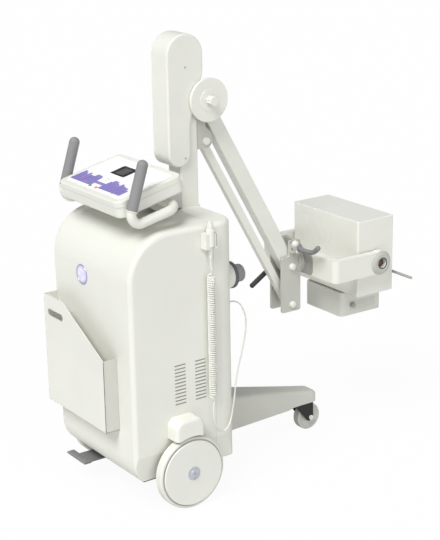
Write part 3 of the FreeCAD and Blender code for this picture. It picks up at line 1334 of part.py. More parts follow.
def field_knob():
    start = COLL_HALF_X + SEAT_GAP
    knob = lobed("X", start, start + FIELD_KNOB_LENGTH, (FIELD_KNOB_Y, FIELD_KNOB_Z), FIELD_KNOB_RADIUS,
                 FIELD_KNOB_LOBES)
    spindle = rod("X", COLL_HALF_X - COLL_WALL - FIELD_SPINDLE_DEPTH, start + 1,
                  (FIELD_KNOB_Y, FIELD_KNOB_Z), FIELD_SPINDLE_RADIUS)
    return knob.fuse(spindle).removeSplitter()


# Console: built level with its front top edge at the origin, then tilted and lifted into place
def tilted(shape):
    piece = turned(shape, CONSOLE_TILT, vec(0, 0, 0), vec(1, 0, 0))
    piece.translate(vec(0, CONSOLE_FRONT_Y, CONSOLE_FRONT_Z))
    return piece


def console_plan(inset, low, high):
    front = CONSOLE_CORNER - inset
    tail = CONSOLE_TAIL_CORNER - inset
    half = CONSOLE_HALF - inset
    return prism("Z", [
        (-half, inset, front),
        (half, inset, front),
        (half, CONSOLE_DEPTH - inset, tail),
        (-half, CONSOLE_DEPTH - inset, tail),
    ], low, high)


def console_base():
    outer = console_plan(0, -CONSOLE_THICK, -CONSOLE_LID)
    sole = [e for e in outer.Edges if e.BoundBox.ZMax < -CONSOLE_THICK + RUN_FIT]
    outer = outer.makeFillet(CONSOLE_EDGE, sole)
    return tilted(outer.cut(console_plan(CONSOLE_WALL, -CONSOLE_THICK + CONSOLE_WALL, 0)))


def console_cover():
    outer = console_plan(0, -CONSOLE_LID, 0)
    crown = [e for e in outer.Edges if e.BoundBox.ZMin > -RUN_FIT]
    outer = outer.makeFillet(CONSOLE_EDGE / 2, crown)
    shell = outer.cut(console_plan(CONSOLE_WALL, -CONSOLE_LID - 1, -CONSOLE_WALL))
    cuts = [keypad_area(-KEYPAD_SINK, 1)]
    cuts.append(display_area(RUN_FIT, -CONSOLE_WALL - 1, 1))
    for x in (ON_BUTTON_X, OFF_BUTTON_X):
        cuts.append(rod("Z", -CONSOLE_WALL - 1, 1, (x, BUTTON_V), BUTTON_RADIUS + BUTTON_GAP))
    return tilted(shell.cut(cuts))


def keypad_area(low, high):
    return prism("Z", rounded(-KEYPAD_HALF, KEYPAD_HALF, KEYPAD_NEAR, KEYPAD_FAR, KEYPAD_CORNER), low, high)


def display_area(grow, low, high):
    return prism("Z", rounded(DISPLAY_X - DISPLAY_HALF - grow, DISPLAY_X + DISPLAY_HALF + grow,
                              DISPLAY_NEAR - grow, DISPLAY_FAR + grow, DISPLAY_CORNER), low, high)


def keypad_membrane():
    sheet = keypad_area(-KEYPAD_SINK, KEYPAD_THICK - KEYPAD_SINK)
    cuts = [display_area(RUN_FIT, -1, 1)]
    for x in (ON_BUTTON_X, OFF_BUTTON_X):
        cuts.append(rod("Z", -1, 1, (x, BUTTON_V), BUTTON_RADIUS + BUTTON_GAP))
    return tilted(sheet.cut(cuts))


def display_window():
    return tilted(display_area(0, -DISPLAY_THICK, KEYPAD_THICK - KEYPAD_SINK))


def console_button(x):
    button = rod("Z", BUTTON_PROUD - BUTTON_HEIGHT, BUTTON_PROUD, (x, BUTTON_V), BUTTON_RADIUS)
    crown = [e for e in button.Edges if e.BoundBox.ZMin > BUTTON_PROUD - RUN_FIT and len(e.Vertexes) == 1]
    return tilted(button.makeFillet(BUTTON_EDGE, crown))


def console_board():
    """The circuit board under the cover, on four posts from the base."""
    reach = CONSOLE_HALF - BOARD_MARGIN
    top = -CONSOLE_LID - BOARD_DROP
    board = block((-reach, reach), (BOARD_MARGIN, CONSOLE_DEPTH - BOARD_MARGIN), (top - BOARD_THICK, top))
    posts = []
    near = BOARD_MARGIN + POST_INSET_Y
    for x in (POST_INSET_X - reach, reach - POST_INSET_X):
        for y in (near, CONSOLE_DEPTH - near):
            posts.append(rod("Z", -CONSOLE_THICK + CONSOLE_WALL, top - BOARD_THICK, (x, y), POST_RADIUS))
    module = display_area(-MODULE_MARGIN, top, -DISPLAY_THICK - SEAT_GAP)
    chip = block((CHIP_X - CHIP_HALF, CHIP_X + CHIP_HALF), (CHIP_Y - CHIP_HALF, CHIP_Y + CHIP_HALF),
                 (top, top + CHIP_THICK))
    return tilted(board.fuse(posts + [module, chip]).removeSplitter())


def console_bracket():
    """The gusset on the column that the console rests on and the handlebar passes through."""
    slope = math.tan(math.radians(CONSOLE_TILT))
    sole = CONSOLE_THICK / math.cos(math.radians(CONSOLE_TILT))

    def under(y):
        return CONSOLE_FRONT_Z - sole + (y - CONSOLE_FRONT_Y) * slope

    front = COLUMN_REAR - BRACKET_RUN
    tail = CONSOLE_FRONT_Y + CONSOLE_DEPTH * math.cos(math.radians(CONSOLE_TILT)) - BRACKET_TAIL
    body = prism("X", [
        (COLUMN_REAR, CABINET_TOP + BRACKET_FOOT, 0),
        (COLUMN_REAR, under(tail), 0),
        (tail, under(tail), 0),
        (front, under(front), 0),
        (front, under(front) - BRACKET_LIP, BRACKET_LIP_BEND),
        (BAR_CROSS_Y - BAR_RADIUS - BRACKET_COLLAR, BAR_CROSS_Z - BAR_RADIUS - BRACKET_COLLAR, BRACKET_BEND),
        (BAR_CROSS_Y + BAR_RADIUS + BRACKET_BEND, CABINET_TOP + BRACKET_FOOT, BRACKET_BEND),
    ], -BRACKET_HALF, BRACKET_HALF)
    return body.cut(rod("X", -BAR_X, BAR_X, (BAR_CROSS_Y, BAR_CROSS_Z), BAR_RADIUS))


def handle_bar():
    """One bent tube: across under the console, back along both sides and up into the grips."""
    way = vec(0, GRIP_TOP_Y - GRIP_BASE_Y, GRIP_TOP_Z - GRIP_BASE_Z).normalize()
    base = vec(BAR_X, GRIP_BASE_Y, GRIP_BASE_Z)
    nodes = [vec(0, BAR_CROSS_Y, BAR_CROSS_Z), vec(BAR_X, BAR_CROSS_Y, BAR_CROSS_Z), base - way * BAR_DROP,
             base + way * BAR_INSERT]
    outer, _ = pipe(nodes, (BAR_BEND, BAR_RISE_BEND), BAR_RADIUS)
    bore, _ = pipe(nodes, (BAR_BEND, BAR_RISE_BEND), BAR_RADIUS - BAR_WALL)
    half = outer.cut(bore)
    return half.fuse(mirrored(half)).removeSplitter()


def grip():
    base = vec(BAR_X, GRIP_BASE_Y, GRIP_BASE_Z)
    way = vec(0, GRIP_TOP_Y - GRIP_BASE_Y, GRIP_TOP_Z - GRIP_BASE_Z)
    length = way.Length
    way.normalize()
    sleeve = Part.makeCylinder(GRIP_RADIUS, length - GRIP_RADIUS, base, way)
    end = Part.makeSphere(GRIP_RADIUS, base + way * (length - GRIP_RADIUS))
    body = sleeve.fuse(end).removeSplitter()
    return body.cut(Part.makeCylinder(BAR_RADIUS + RUN_FIT, BAR_INSERT + SEAT_GAP, base, way))


def bin_body(inset, start, end, lift, corner):
    return prism("Y", [
        (BIN_LEFT + inset, BIN_BOTTOM + inset, 0),
        (BIN_RIGHT - inset, BIN_BOTTOM + inset, 0),
        (BIN_RIGHT - inset, BIN_LIP_LOW + lift, 0),
        (BIN_LIP_X, BIN_LIP_HIGH + lift, corner),
        (BIN_LEFT + inset, BIN_LIP_HIGH + lift, 0),
    ], start, end)


def cassette_bin():
    outer = bin_body(0, BIN_FRONT, CABINET_REAR, 0, BIN_LIP_CORNER)
    inner = bin_body(BIN_WALL, BIN_FRONT + BIN_WALL, CABINET_REAR - BIN_WALL, BIN_DEPTH, 0)
    hand = slot("Y", BIN_FRONT - 1, BIN_FRONT + BIN_WALL + 1, (BIN_SLOT_X, BIN_SLOT_Z), BIN_SLOT_LENGTH,
                BIN_SLOT_HEIGHT)
    return outer.cut([inner, hand])


# Handswitch, its holder and its lead
def switch_holder():
    back = CABINET_HALF
    middle = (SWITCH_X, SWITCH_Y)
    body = prism("Z", rounded(back, SWITCH_X + HOLDER_REACH, SWITCH_Y - HOLDER_HALF, SWITCH_Y + HOLDER_HALF,
                              HOLDER_CORNER), HOLDER_BOTTOM, HOLDER_TOP)
    bore = rod("Z", SWITCH_BOTTOM - SEAT_GAP, HOLDER_TOP + 1, middle, SWITCH_RADIUS + SEAT_GAP)
    narrow = RELIEF_TOP_RADIUS + HOLDER_WAY_GAP
    way = rod("Z", HOLDER_BOTTOM - 1, HOLDER_TOP, middle, narrow)
    gap = block((SWITCH_X, SWITCH_X + 2 * HOLDER_REACH), (SWITCH_Y - narrow, SWITCH_Y + narrow),
                (HOLDER_BOTTOM - 1, HOLDER_TOP + 1))
    clip = block((back + HOLDER_WALL, SWITCH_X + HOLDER_REACH + 1),
                 (SWITCH_Y + HOLDER_CLIP_NEAR, SWITCH_Y + HOLDER_CLIP_FAR),
                 (HOLDER_BOTTOM + HOLDER_CLIP_FOOT, HOLDER_TOP + 1))
    return body.cut([bore, way, gap, clip])


def handswitch_body():
    middle = (SWITCH_X, SWITCH_Y)
    body = rod("Z", SWITCH_BOTTOM, SWITCH_TOP, middle, SWITCH_RADIUS)
    ends = [e for e in body.Edges if len(e.Vertexes) == 1 and e.BoundBox.ZLength < 1]
    body = body.makeFillet(SWITCH_EDGE, ends)
    neck = rod("Z", SWITCH_TOP - SWITCH_OVERLAP, SWITCH_TOP + SWITCH_NECK_LENGTH, middle, SWITCH_NECK_RADIUS)
    top = SWITCH_TOP + SWITCH_NECK_LENGTH
    bore = rod("Z", top - FIRE_LENGTH + FIRE_PROUD - SWITCH_OVERLAP, top + 1, middle, FIRE_RADIUS + RUN_FIT)
    return body.fuse(neck).removeSplitter().cut(bore)


def exposure_button():
    top = SWITCH_TOP + SWITCH_NECK_LENGTH + FIRE_PROUD
    button = rod("Z", top - FIRE_LENGTH, top, (SWITCH_X, SWITCH_Y), FIRE_RADIUS)
    crown = [e for e in button.Edges if e.BoundBox.ZMin > top - 1 and len(e.Vertexes) == 1]
    return button.makeFillet(FIRE_EDGE, crown)


def switch_relief():
    return taper("Z", SWITCH_BOTTOM - RELIEF_LENGTH, SWITCH_BOTTOM, (SWITCH_X, SWITCH_Y), RELIEF_END_RADIUS,
                 RELIEF_TOP_RADIUS)


def coil_cord():
    return rod("Z", COIL_BOTTOM, COIL_TOP, (SWITCH_X, SWITCH_Y), COIL_DIAMETER / 2)


def lead_cord():
    """The straight stretches: relief to coil, and coil to the gland in the forward cover."""
    upper = rod("Z", COIL_TOP, SWITCH_BOTTOM - RELIEF_LENGTH, (SWITCH_X, SWITCH_Y), LEAD_DIAMETER / 2)
    end = (GLAND_X, CABINET_FRONT + GLAND_LENGTH, GLAND_Z)
    route = ((SWITCH_X, SWITCH_Y, COIL_BOTTOM),) + LEAD_ROUTE + (end,)
    return Part.makeCompound([upper, tube(route, LEAD_DIAMETER / 2)])


def cord_gland():
    shank = rod("Y", CABINET_FRONT - CABINET_WALL - GLAND_SHANK, CABINET_FRONT, (GLAND_X, GLAND_Z),
                GLAND_RADIUS / 2)
    nose = taper("Y", CABINET_FRONT, CABINET_FRONT + GLAND_LENGTH, (GLAND_X, GLAND_Z), GLAND_RADIUS,
                 LEAD_DIAMETER)
    return shank.fuse(nose).removeSplitter()


def latch_knob():
    """A skirted knob with a groove near its end, its spindle and the latch dog inside the cover."""
    start = CABINET_FRONT + BOSS_REACH + SEAT_GAP
    brow = start + KNOB_SKIRT_THICK
    end = brow + KNOB_LENGTH
    groove = brow + KNOB_GROOVE_AT
    profile = outline([
        (start, 0, 0),
        (start, KNOB_SKIRT_RADIUS, KNOB_GROOVE),
        (brow, KNOB_SKIRT_RADIUS, 2 * KNOB_GROOVE),
        (brow, KNOB_RADIUS, 0),
        (groove, KNOB_RADIUS, 0),
        (groove, KNOB_RADIUS - KNOB_GROOVE, 0),
        (groove + KNOB_GROOVE_WIDTH, KNOB_RADIUS - KNOB_GROOVE, 0),
        (groove + KNOB_GROOVE_WIDTH, KNOB_RADIUS, 0),
        (end, KNOB_RADIUS, KNOB_END_RADIUS),
        (end, 0, 0),
    ], lambda a, b: vec(KNOB_X + b, a, KNOB_Z))
    knob = Part.Face(profile).revolve(vec(KNOB_X, 0, KNOB_Z), vec(0, 1, 0), 360)
    spindle = rod("Y", SEAM_Y + DOG_DEPTH, start + 1, (KNOB_X, KNOB_Z), KNOB_SPINDLE_RADIUS)
    dog = block((KNOB_X - DOG_HALF, KNOB_X + DOG_HALF), (SEAM_Y + DOG_DEPTH, SEAM_Y + DOG_DEPTH + DOG_THICK),
                (KNOB_Z - DOG_REACH, KNOB_Z + DOG_HALF))
    return knob.fuse([spindle, dog]).removeSplitter()


def brake_pedal():
    bar = prism("X", [
        (PEDAL_REAR, PEDAL_TOP - PEDAL_THICK, 0),
        (PEDAL_REAR + PEDAL_BAR_DEPTH, PEDAL_TOP - PEDAL_THICK, 0),
        (PEDAL_REAR + PEDAL_BAR_DEPTH, PEDAL_TOP, 0),
        (PEDAL_REAR, PEDAL_TOP, PEDAL_LIP),
    ], PEDAL_LEFT, PEDAL_RIGHT)
    arm = prism("X", [
        (PEDAL_REAR + PEDAL_ARM_LAP, PEDAL_TOP - PEDAL_THICK, 0),
        (PEDAL_SHAFT_Y - PEDAL_ARM_BEND, PEDAL_TOP - PEDAL_THICK, 0),
        (PEDAL_SHAFT_Y, PEDAL_SHAFT_Z - PEDAL_ARM_HALF, 0),
        (PEDAL_SHAFT_Y, PEDAL_SHAFT_Z + PEDAL_ARM_HALF, 0),
        (PEDAL_SHAFT_Y - PEDAL_ARM_RISE, PEDAL_TOP, 0),
        (PEDAL_REAR + PEDAL_ARM_LAP, PEDAL_TOP, 0),
    ], PEDAL_ARM_LEFT, PEDAL_RIGHT - PEDAL_ARM_MARGIN)
    shaft = rod("X", PEDAL_LEFT - PEDAL_SHAFT_END, PEDAL_RIGHT + 2 * PEDAL_LUG_THICK + PEDAL_SHAFT_END,
                (PEDAL_SHAFT_Y, PEDAL_SHAFT_Z), PEDAL_SHAFT_RADIUS)
    return bar.fuse([arm, shaft]).removeSplitter()


# Inside the cabinet
def battery_pack():
    """Three blocks of cells side by side on two rails above the tray."""
    x, y, z = BATTERY_SIZE
    top = BATTERY_BOTTOM + z
    pack = block((-x / 2, x / 2), (BATTERY_Y - y / 2, BATTERY_Y + y / 2), (BATTERY_BOTTOM, top))
    rails = [block((side * x / 3 - RAIL_HALF, side * x / 3 + RAIL_HALF), BATTERY_FEET,
                   (TRAY_TOP, BATTERY_BOTTOM)) for side in (-1, 1)]
    seams = [block((side * x / 6 - CELL_SEAM, side * x / 6 + CELL_SEAM), (BATTERY_Y - y, BATTERY_Y + y),
                   (top - SEAM_DEPTH, top + 1)) for side in (-1, 1)]
    studs = [rod("Z", top, top + TERMINAL_HEIGHT, (side * x / TERMINAL_SPREAD, BATTERY_Y), TERMINAL_RADIUS)
             for side in (-1, 1)]
    return pack.cut(seams).fuse(studs + rails).removeSplitter()


def generator_box():
    """The high-voltage tank and its drive electronics on a shelf across the cabinet."""
    x, y, z = GENERATOR_SIZE
    half = CABINET_HALF - CABINET_WALL
    low = GENERATOR_Z
    tank = block((-x / 2, x / 2), (GENERATOR_Y - y / 2, GENERATOR_Y + y / 2), (low, low + z))
    shelf = block((-half, half), (GENERATOR_Y - y / 2, GENERATOR_Y + y / 2), (low - SHELF_THICK, low))
    starts = [FIN_MARGIN + i * FIN_PITCH - x / 2 for i in range(FIN_COUNT)]
    fins = [block((start, start + FIN_THICK), (GENERATOR_Y - y / 2, GENERATOR_Y + y / 2),
                  (low + z, low + z + FIN_HEIGHT)) for start in starts]
    row = GENERATOR_Y + y / 2 - SOCKET_INSET
    sockets = [rod("Z", low + z, low + z + SOCKET_HEIGHT, (place, row), SOCKET_RADIUS)
               for place in SOCKET_PLACES]
    return tank.fuse([shelf] + fins + sockets).removeSplitter()


def build():
    rear_shell, front_shell = cabinet()
    add("cabinet_shell", cabinet_shell(rear_shell))
    add("forward_cover", forward_cover(front_shell))
    add("chassis_tray", chassis_tray())
    add("front_leg", front_leg())
    add("rear_axle", rear_axle())
    add("axle_blocks", axle_blocks())
    add("wheel_fenders", fenders())
    add("wheel_right", wheel())
    add("wheel_left", mirrored(wheel()))
    add("tyre_right", tyre())
    add("tyre_left", mirrored(tyre()))
    add("hub_cap_right", hub_cap())
    add("hub_cap_left", mirrored(hub_cap()))
    add("caster_fork", caster_fork())
    add("caster_bolt", caster_bolt())
    add("caster_wheel", caster_wheel())
    add("column", column())
    add("pivot_bracket", pivot_bracket())
    add("pivot_pins", pivot_pins())
    add("spring_housing", spring_housing())
    add("spring_cartridge", spring_cartridge())
    add("arm_beam", arm_beam())
    add("tie_rod", tie_rod())
    add("pivot_disc", pivot_disc())
    add("lock_knob", lock_knob())
    add("fork_bracket", fork_bracket())
    add("fork_bolts", fork_bolts())
    add("lift_lever", lift_lever())
    add("swivel_lever", swivel_lever())
    add("yoke", yoke())
    add("head_housing", head_housing())
    add("head_lid", head_lid())
    add("tube_insert", tube_insert())
    add("head_handle", head_handle())
    add("collimator_body", collimator_body())
    add("beam_window", beam_window())
    add("collimator_blades", blades())
    add("field_knob", field_knob())
    add("console_base", console_base())
    add("console_cover", console_cover())
    add("keypad_membrane", keypad_membrane())
    add("display_window", display_window())
    add("on_button", console_button(ON_BUTTON_X))
    add("off_button", console_button(OFF_BUTTON_X))
    add("console_board", console_board())
    add("console_bracket", console_bracket())
    add("handle_bar", handle_bar())
    add("hand_grips", both_sides(grip()))
    add("cassette_bin", cassette_bin())
    add("switch_holder", switch_holder())
    add("handswitch_body", handswitch_body())
    add("exposure_button", exposure_button())
    add("switch_relief", switch_relief())
    add("coil_cord", coil_cord())
    add("lead_cord", lead_cord())
    add("cord_gland", cord_gland())
    add("latch_knob", latch_knob())
    add("brake_pedal", brake_pedal())
    add("battery_pack", battery_pack())
    add("generator_box", generator_box())


def export():
    os.makedirs("parts", exist_ok=True)
    low = min(shape.BoundBox.ZMin for shape in PARTS.values())
    print("nodes", len(PARTS), "lowest point", round(low, 3))
    for name, shape in PARTS.items():
        bad = [s for s in shape.Solids if not s.isValid() or s.Volume <= 0]
        if bad or not shape.Solids:
            print("broken solid in", name)
        shape.exportStep("parts/" + name + ".step")


build()
export()
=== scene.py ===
# %% [markdown]
# # A mobile radiography unit, dressed in Blender
# The object is a wheeled cabinet with a control console, a column, a balanced arm made of two
# parallel bars, and a tube head in a yoke. The solids come ready made as a fixed frame, in metres.
# This lesson adds what a solid model leaves out: finishes, small trim, printed panels and cords.

# %% Load the frame and measure it
import bpy
import bmesh
import math
from mathutils import Matrix, Vector


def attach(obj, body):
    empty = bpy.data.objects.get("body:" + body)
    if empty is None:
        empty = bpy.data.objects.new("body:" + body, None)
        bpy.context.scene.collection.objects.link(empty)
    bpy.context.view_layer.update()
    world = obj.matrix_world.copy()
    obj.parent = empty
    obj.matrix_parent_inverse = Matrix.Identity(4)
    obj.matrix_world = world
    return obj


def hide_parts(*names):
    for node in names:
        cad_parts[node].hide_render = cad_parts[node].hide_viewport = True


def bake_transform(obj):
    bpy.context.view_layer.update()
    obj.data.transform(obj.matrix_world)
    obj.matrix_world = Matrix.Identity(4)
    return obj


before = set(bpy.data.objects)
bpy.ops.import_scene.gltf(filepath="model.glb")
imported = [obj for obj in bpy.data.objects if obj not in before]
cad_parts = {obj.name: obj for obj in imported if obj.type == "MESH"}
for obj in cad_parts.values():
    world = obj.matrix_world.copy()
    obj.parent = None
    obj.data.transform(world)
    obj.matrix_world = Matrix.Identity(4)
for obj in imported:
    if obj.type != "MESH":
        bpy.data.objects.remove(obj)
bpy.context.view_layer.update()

# %% [markdown]
# The drawing of the unit counts its lengths in millimetres from the rear axle, with Z up from the
# floor. The frame's origin lies 364 mm ahead of that axle. One helper turns a drawing point into
# a point of the frame, so that every later cell can use the plain numbers of the drawing.

# %% From drawing millimetres to metres
AXLE_BEHIND, AXLE_HIGH = 0.364, 125


def spot(x, y, z):
    """A point of the drawing, in the frame's metres."""
    return Vector((x / 1000, y / 1000 - AXLE_BEHIND, z / 1000))


print("rear axle lies at", tuple(spot(0, 0, AXLE_HIGH)))

# %% [markdown]
# ## Camera
# The camera stands where the photograph was taken from: behind the unit, to the operator's right
# and a little above the console. Its axes are built from azimuth, elevation and a slight roll,
# which is simpler to check by hand than a tracking constraint.

# %% Place the camera
AZIMUTH = math.radians(55.3)
ELEVATION = math.radians(17.54)
ROLL = math.radians(-1.03)
FOCAL_PIXELS = 1483.0
FRAME_PIXELS = 540.0
SENSOR = 36.0
CAMERA_PLACE = (3.995, -2.807, 2.222)

backward = Vector((math.sin(AZIMUTH) * math.cos(ELEVATION),
                   -math.cos(AZIMUTH) * math.cos(ELEVATION), math.sin(ELEVATION)))
level = Vector((math.cos(AZIMUTH), math.sin(AZIMUTH), 0))
rising = backward.cross(level)
across = level * math.cos(ROLL) + rising * math.sin(ROLL)
upward = rising * math.cos(ROLL) - level * math.sin(ROLL)
turn = Matrix((across, upward, backward)).transposed().to_4x4()

lens = bpy.data.cameras.new("studio_camera")
lens.lens = FOCAL_PIXELS / FRAME_PIXELS * SENSOR
lens.sensor_width = SENSOR
camera = bpy.data.objects.new("studio_camera", lens)
bpy.context.scene.collection.objects.link(camera)
camera.matrix_world = Matrix.Translation(CAMERA_PLACE) @ turn
bpy.context.scene.camera = camera
print("lens", round(lens.lens, 1), "mm")

# %% [markdown]
# ## Light, floor and background
# The photograph is lit from all around, with soft shade under the console. Two broad suns, from
# behind and from the side, and an even sky do that. The floor is pale and still takes the shadow.
# For the camera the sky and most of the floor are plain white, which Light Path does without more
# light on the object.

# %% Node helpers
def fill(tree, node, **values):
    """Lead sockets into a node's inputs, or set them to plain values; _ in a label is a space."""
    for label, value in values.items():
        entry = node.inputs[label.replace("_", " ")]
        if isinstance(value, bpy.types.NodeSocket):
            tree.links.new(value, entry)
        else:
            entry.default_value = value
    return node


def add(tree, kind, **values):
    """A new shader node with its inputs filled."""
    return fill(tree, tree.nodes.new("ShaderNode" + kind), **values)


def math_node(tree, kind, first, second):
    """A Math node; each operand is a socket or a number."""
    node = add(tree, "Math")
    node.operation = kind
    for entry, value in zip(node.inputs, (first, second)):
        if isinstance(value, bpy.types.NodeSocket):
            tree.links.new(value, entry)
        else:
            entry.default_value = value
    return node.outputs[0]


def mix_shaders(tree, share, first, second, end):
    """Mix two shader nodes by a share and lead them into the tree's output node."""
    mix = add(tree, "MixShader")
    for entry, value in zip(mix.inputs, (share, first.outputs[0], second.outputs[0])):
        tree.links.new(value, entry)
    fill(tree, end, Surface=mix.outputs[0])


print("node helpers ready")

# %% World and lamps
scene = bpy.context.scene
scene.view_settings.view_transform = "Standard"
world = bpy.data.worlds.new("studio_sky")
scene.world = world
world.use_nodes = True
sky = world.node_tree
sky.nodes.clear()
SKY_STRENGTH = 0.38
sky_light = add(sky, "Background", Color=(0.97, 0.985, 1.0, 1), Strength=SKY_STRENGTH)
sky_white = add(sky, "Background", Color=(1, 1, 1, 1))
sky_path = add(sky, "LightPath")
sky_share = math_node(sky, "MAXIMUM", sky_path.outputs["Is Camera Ray"],
                      sky_path.outputs["Is Transmission Ray"])
mix_shaders(sky, sky_share, sky_light, sky_white, add(sky, "OutputWorld"))


def sun(name, towards, strength, softness):
    """A broad lamp that shines from one direction."""
    lamp = bpy.data.lights.new(name, "SUN")
    lamp.energy = strength
    lamp.angle = math.radians(softness)
    holder = bpy.data.objects.new(name, lamp)
    scene.collection.objects.link(holder)
    holder.rotation_mode = "QUATERNION"
    holder.rotation_quaternion = Vector(towards).to_track_quat("Z", "Y")
    return holder


sun("key_light", (0.33, -0.75, 1.05), 2.60, 30)
sun("side_light", (0.93, -0.05, 0.36), 0.50, 44)

# %% The floor
FLOOR_REACH = 60.0
FLOOR_GLOW = 0.95
floor_mesh = bpy.data.meshes.new("studio_floor")
floor_mesh.from_pydata([(-FLOOR_REACH, -FLOOR_REACH, 0), (FLOOR_REACH, -FLOOR_REACH, 0),
                        (FLOOR_REACH, FLOOR_REACH, 0), (-FLOOR_REACH, FLOOR_REACH, 0)], [], [(0, 1, 2, 3)])
floor = bpy.data.objects.new("studio_floor", floor_mesh)
scene.collection.objects.link(floor)
floor_paint = bpy.data.materials.new("studio_floor")
floor_paint.use_nodes = True
paint = floor_paint.node_tree
paint.nodes.clear()
floor_matt = add(paint, "BsdfDiffuse", Color=(0.80, 0.80, 0.79, 1))
floor_glow = add(paint, "Emission", Color=(1, 1, 1, 1), Strength=1.0)
floor_path = add(paint, "LightPath")
floor_share = math_node(paint, "MULTIPLY", floor_path.outputs["Is Camera Ray"], FLOOR_GLOW)
mix_shaders(paint, floor_share, floor_matt, floor_glow, add(paint, "OutputMaterial"))
floor_mesh.materials.append(floor_paint)
print("floor reaches", FLOOR_REACH, "m each way")

# %% [markdown]
# ## Shared surface effects
# Real casings are never one flat colour. Moulded plastic has a fine grain and soft clouds in its
# tone, enamel rubs off along edges, dust settles on what faces up, and pressed sheet is ribbed. The lighter
# edge tone is also a painted highlight along every edge.
# Each effect is one node group with named sockets, so every finish can use it with its own values.

# %% Helpers for node groups
def effect(name, inputs, outputs):
    """An empty node group with float inputs (name, value) and float outputs."""
    group = bpy.data.node_groups.new(name, "ShaderNodeTree")
    for label, value in inputs:
        entry = group.interface.new_socket(name=label, in_out="INPUT", socket_type="NodeSocketFloat")
        entry.default_value = value
    for label in outputs:
        group.interface.new_socket(name=label, in_out="OUTPUT", socket_type="NodeSocketFloat")
    return group, group.nodes.new("NodeGroupInput"), group.nodes.new("NodeGroupOutput")


def object_place(tree):
    """The position in object space."""
    return add(tree, "TexCoord").outputs["Object"]


def noise(tree, detail, scale):
    """A noise in object space whose scale comes from a socket."""
    return add(tree, "TexNoise", Detail=detail, Vector=object_place(tree), Scale=scale).outputs["Fac"]


def ranged(tree, value, low, high):
    """A value spread from low and high to zero and one."""
    return add(tree, "MapRange", Value=value, From_Min=low, From_Max=high).outputs["Result"]


def measured_along(tree, entry):
    """How far the place lies along the direction in a group's three inputs Along X, Y and Z."""
    split = add(tree, "SeparateXYZ", Vector=object_place(tree))
    parts = [math_node(tree, "MULTIPLY", split.outputs[axis], entry.outputs["Along " + axis])
             for axis in "XYZ"]
    return math_node(tree, "ADD", math_node(tree, "ADD", parts[0], parts[1]), parts[2])


print("group helpers ready")

# %% Moulded grain: a fine height and a broad cloud
grain_group, g_in, g_out = effect("moulded_grain", [("Grain Scale", 900.0), ("Cloud Scale", 6.0)],
                                  ["Height", "Cloud"])
cloud = noise(grain_group, 4.0, g_in.outputs["Cloud Scale"])
fill(grain_group, g_out, Height=noise(grain_group, 3.0, g_in.outputs["Grain Scale"]),
     Cloud=ranged(grain_group, cloud, 0.32, 0.68))
print("made", grain_group.name)

# %% Rubbed edges with a painted highlight: where a rounded normal leaves the face's own, broken up by noise
edge_wear_and_highlight_group, e_in, e_out = effect("rubbed_edges_and_highlight", [("Reach", 0.0016), ("Breakup", 60.0)], ["Mask"])
e_round = add(edge_wear_and_highlight_group, "Bevel", Radius=e_in.outputs["Reach"])
e_round.samples = 4
e_shape = add(edge_wear_and_highlight_group, "NewGeometry")
e_match = add(edge_wear_and_highlight_group, "VectorMath")
e_match.operation = "DOT_PRODUCT"
edge_wear_and_highlight_group.links.new(e_round.outputs["Normal"], e_match.inputs[0])
edge_wear_and_highlight_group.links.new(e_shape.outputs["Normal"], e_match.inputs[1])
e_edge = ranged(edge_wear_and_highlight_group, e_match.outputs["Value"], 0.99, 0.80)
fill(edge_wear_and_highlight_group, e_out, Mask=math_node(edge_wear_and_highlight_group, "MULTIPLY", e_edge,
                                       noise(edge_wear_and_highlight_group, 5.0, e_in.outputs["Breakup"])))
print("made", edge_wear_and_highlight_group.name)

# %% Settled dust: only on what faces up
dust_group, d_in, d_out = effect("settled_dust", [("Amount", 0.2), ("Patch Scale", 9.0)], ["Mask"])
d_split = add(dust_group, "SeparateXYZ", Vector=add(dust_group, "NewGeometry").outputs["Normal"])
d_face = math_node(dust_group, "MULTIPLY", ranged(dust_group, d_split.outputs["Z"], 0.55, 1.0),
                   noise(dust_group, 6.0, d_in.outputs["Patch Scale"]))
fill(dust_group, d_out, Mask=math_node(dust_group, "MULTIPLY", d_face, d_in.outputs["Amount"]))
print("made", dust_group.name)

# %% Even ribs: a sine along one direction, for pressed sheet
rib_group, r_in, r_out = effect("even_ribs", [("Along X", 0.0), ("Along Y", 0.0), ("Along Z", 1.0),
                                              ("Ribs per Metre", 200.0)], ["Height"])
r_count = math_node(rib_group, "MULTIPLY", measured_along(rib_group, r_in), r_in.outputs["Ribs per Metre"])
r_phase = math_node(rib_group, "MULTIPLY", r_count, 2 * math.pi)
fill(rib_group, r_out, Height=math_node(rib_group, "SINE", r_phase, 0.0))
print("made", rib_group.name)

# %% A zone: one side of a plane, for a piece with two colours
zone_group, z_in, z_out = effect("colour_zone", [("Along X", 0.0), ("Along Y", 1.0), ("Along Z", 0.0),
                                                 ("Limit", 0.0)], ["Mask"])
fill(zone_group, z_out, Mask=math_node(zone_group, "LESS_THAN", measured_along(zone_group, z_in),
                                       z_in.outputs["Limit"]))
print("made", zone_group.name)

# %% [markdown]
# ## Finishes
# One builder puts the effects together. The base colour drifts between two near tones, an edge
# tone shows where the paint is rubbed and also paints a highlight along edges, dust lies on top, and grain
# or ribs feed a bump.
# Values that are the same all over the surface sit on the shader's own sockets.

# %% The finish builder
EDGE_REACH, DUST_TONE = 0.0016, "B9B5A9"


def tone(code):
    """A colour written as six hex digits, in the linear values that shaders use."""
    parts = [int(code[i:i + 2], 16) / 255 for i in (0, 2, 4)]
    return tuple(p / 12.92 if p <= 0.04045 else ((p + 0.055) / 1.055) ** 2.4 for p in parts) + (1.0,)


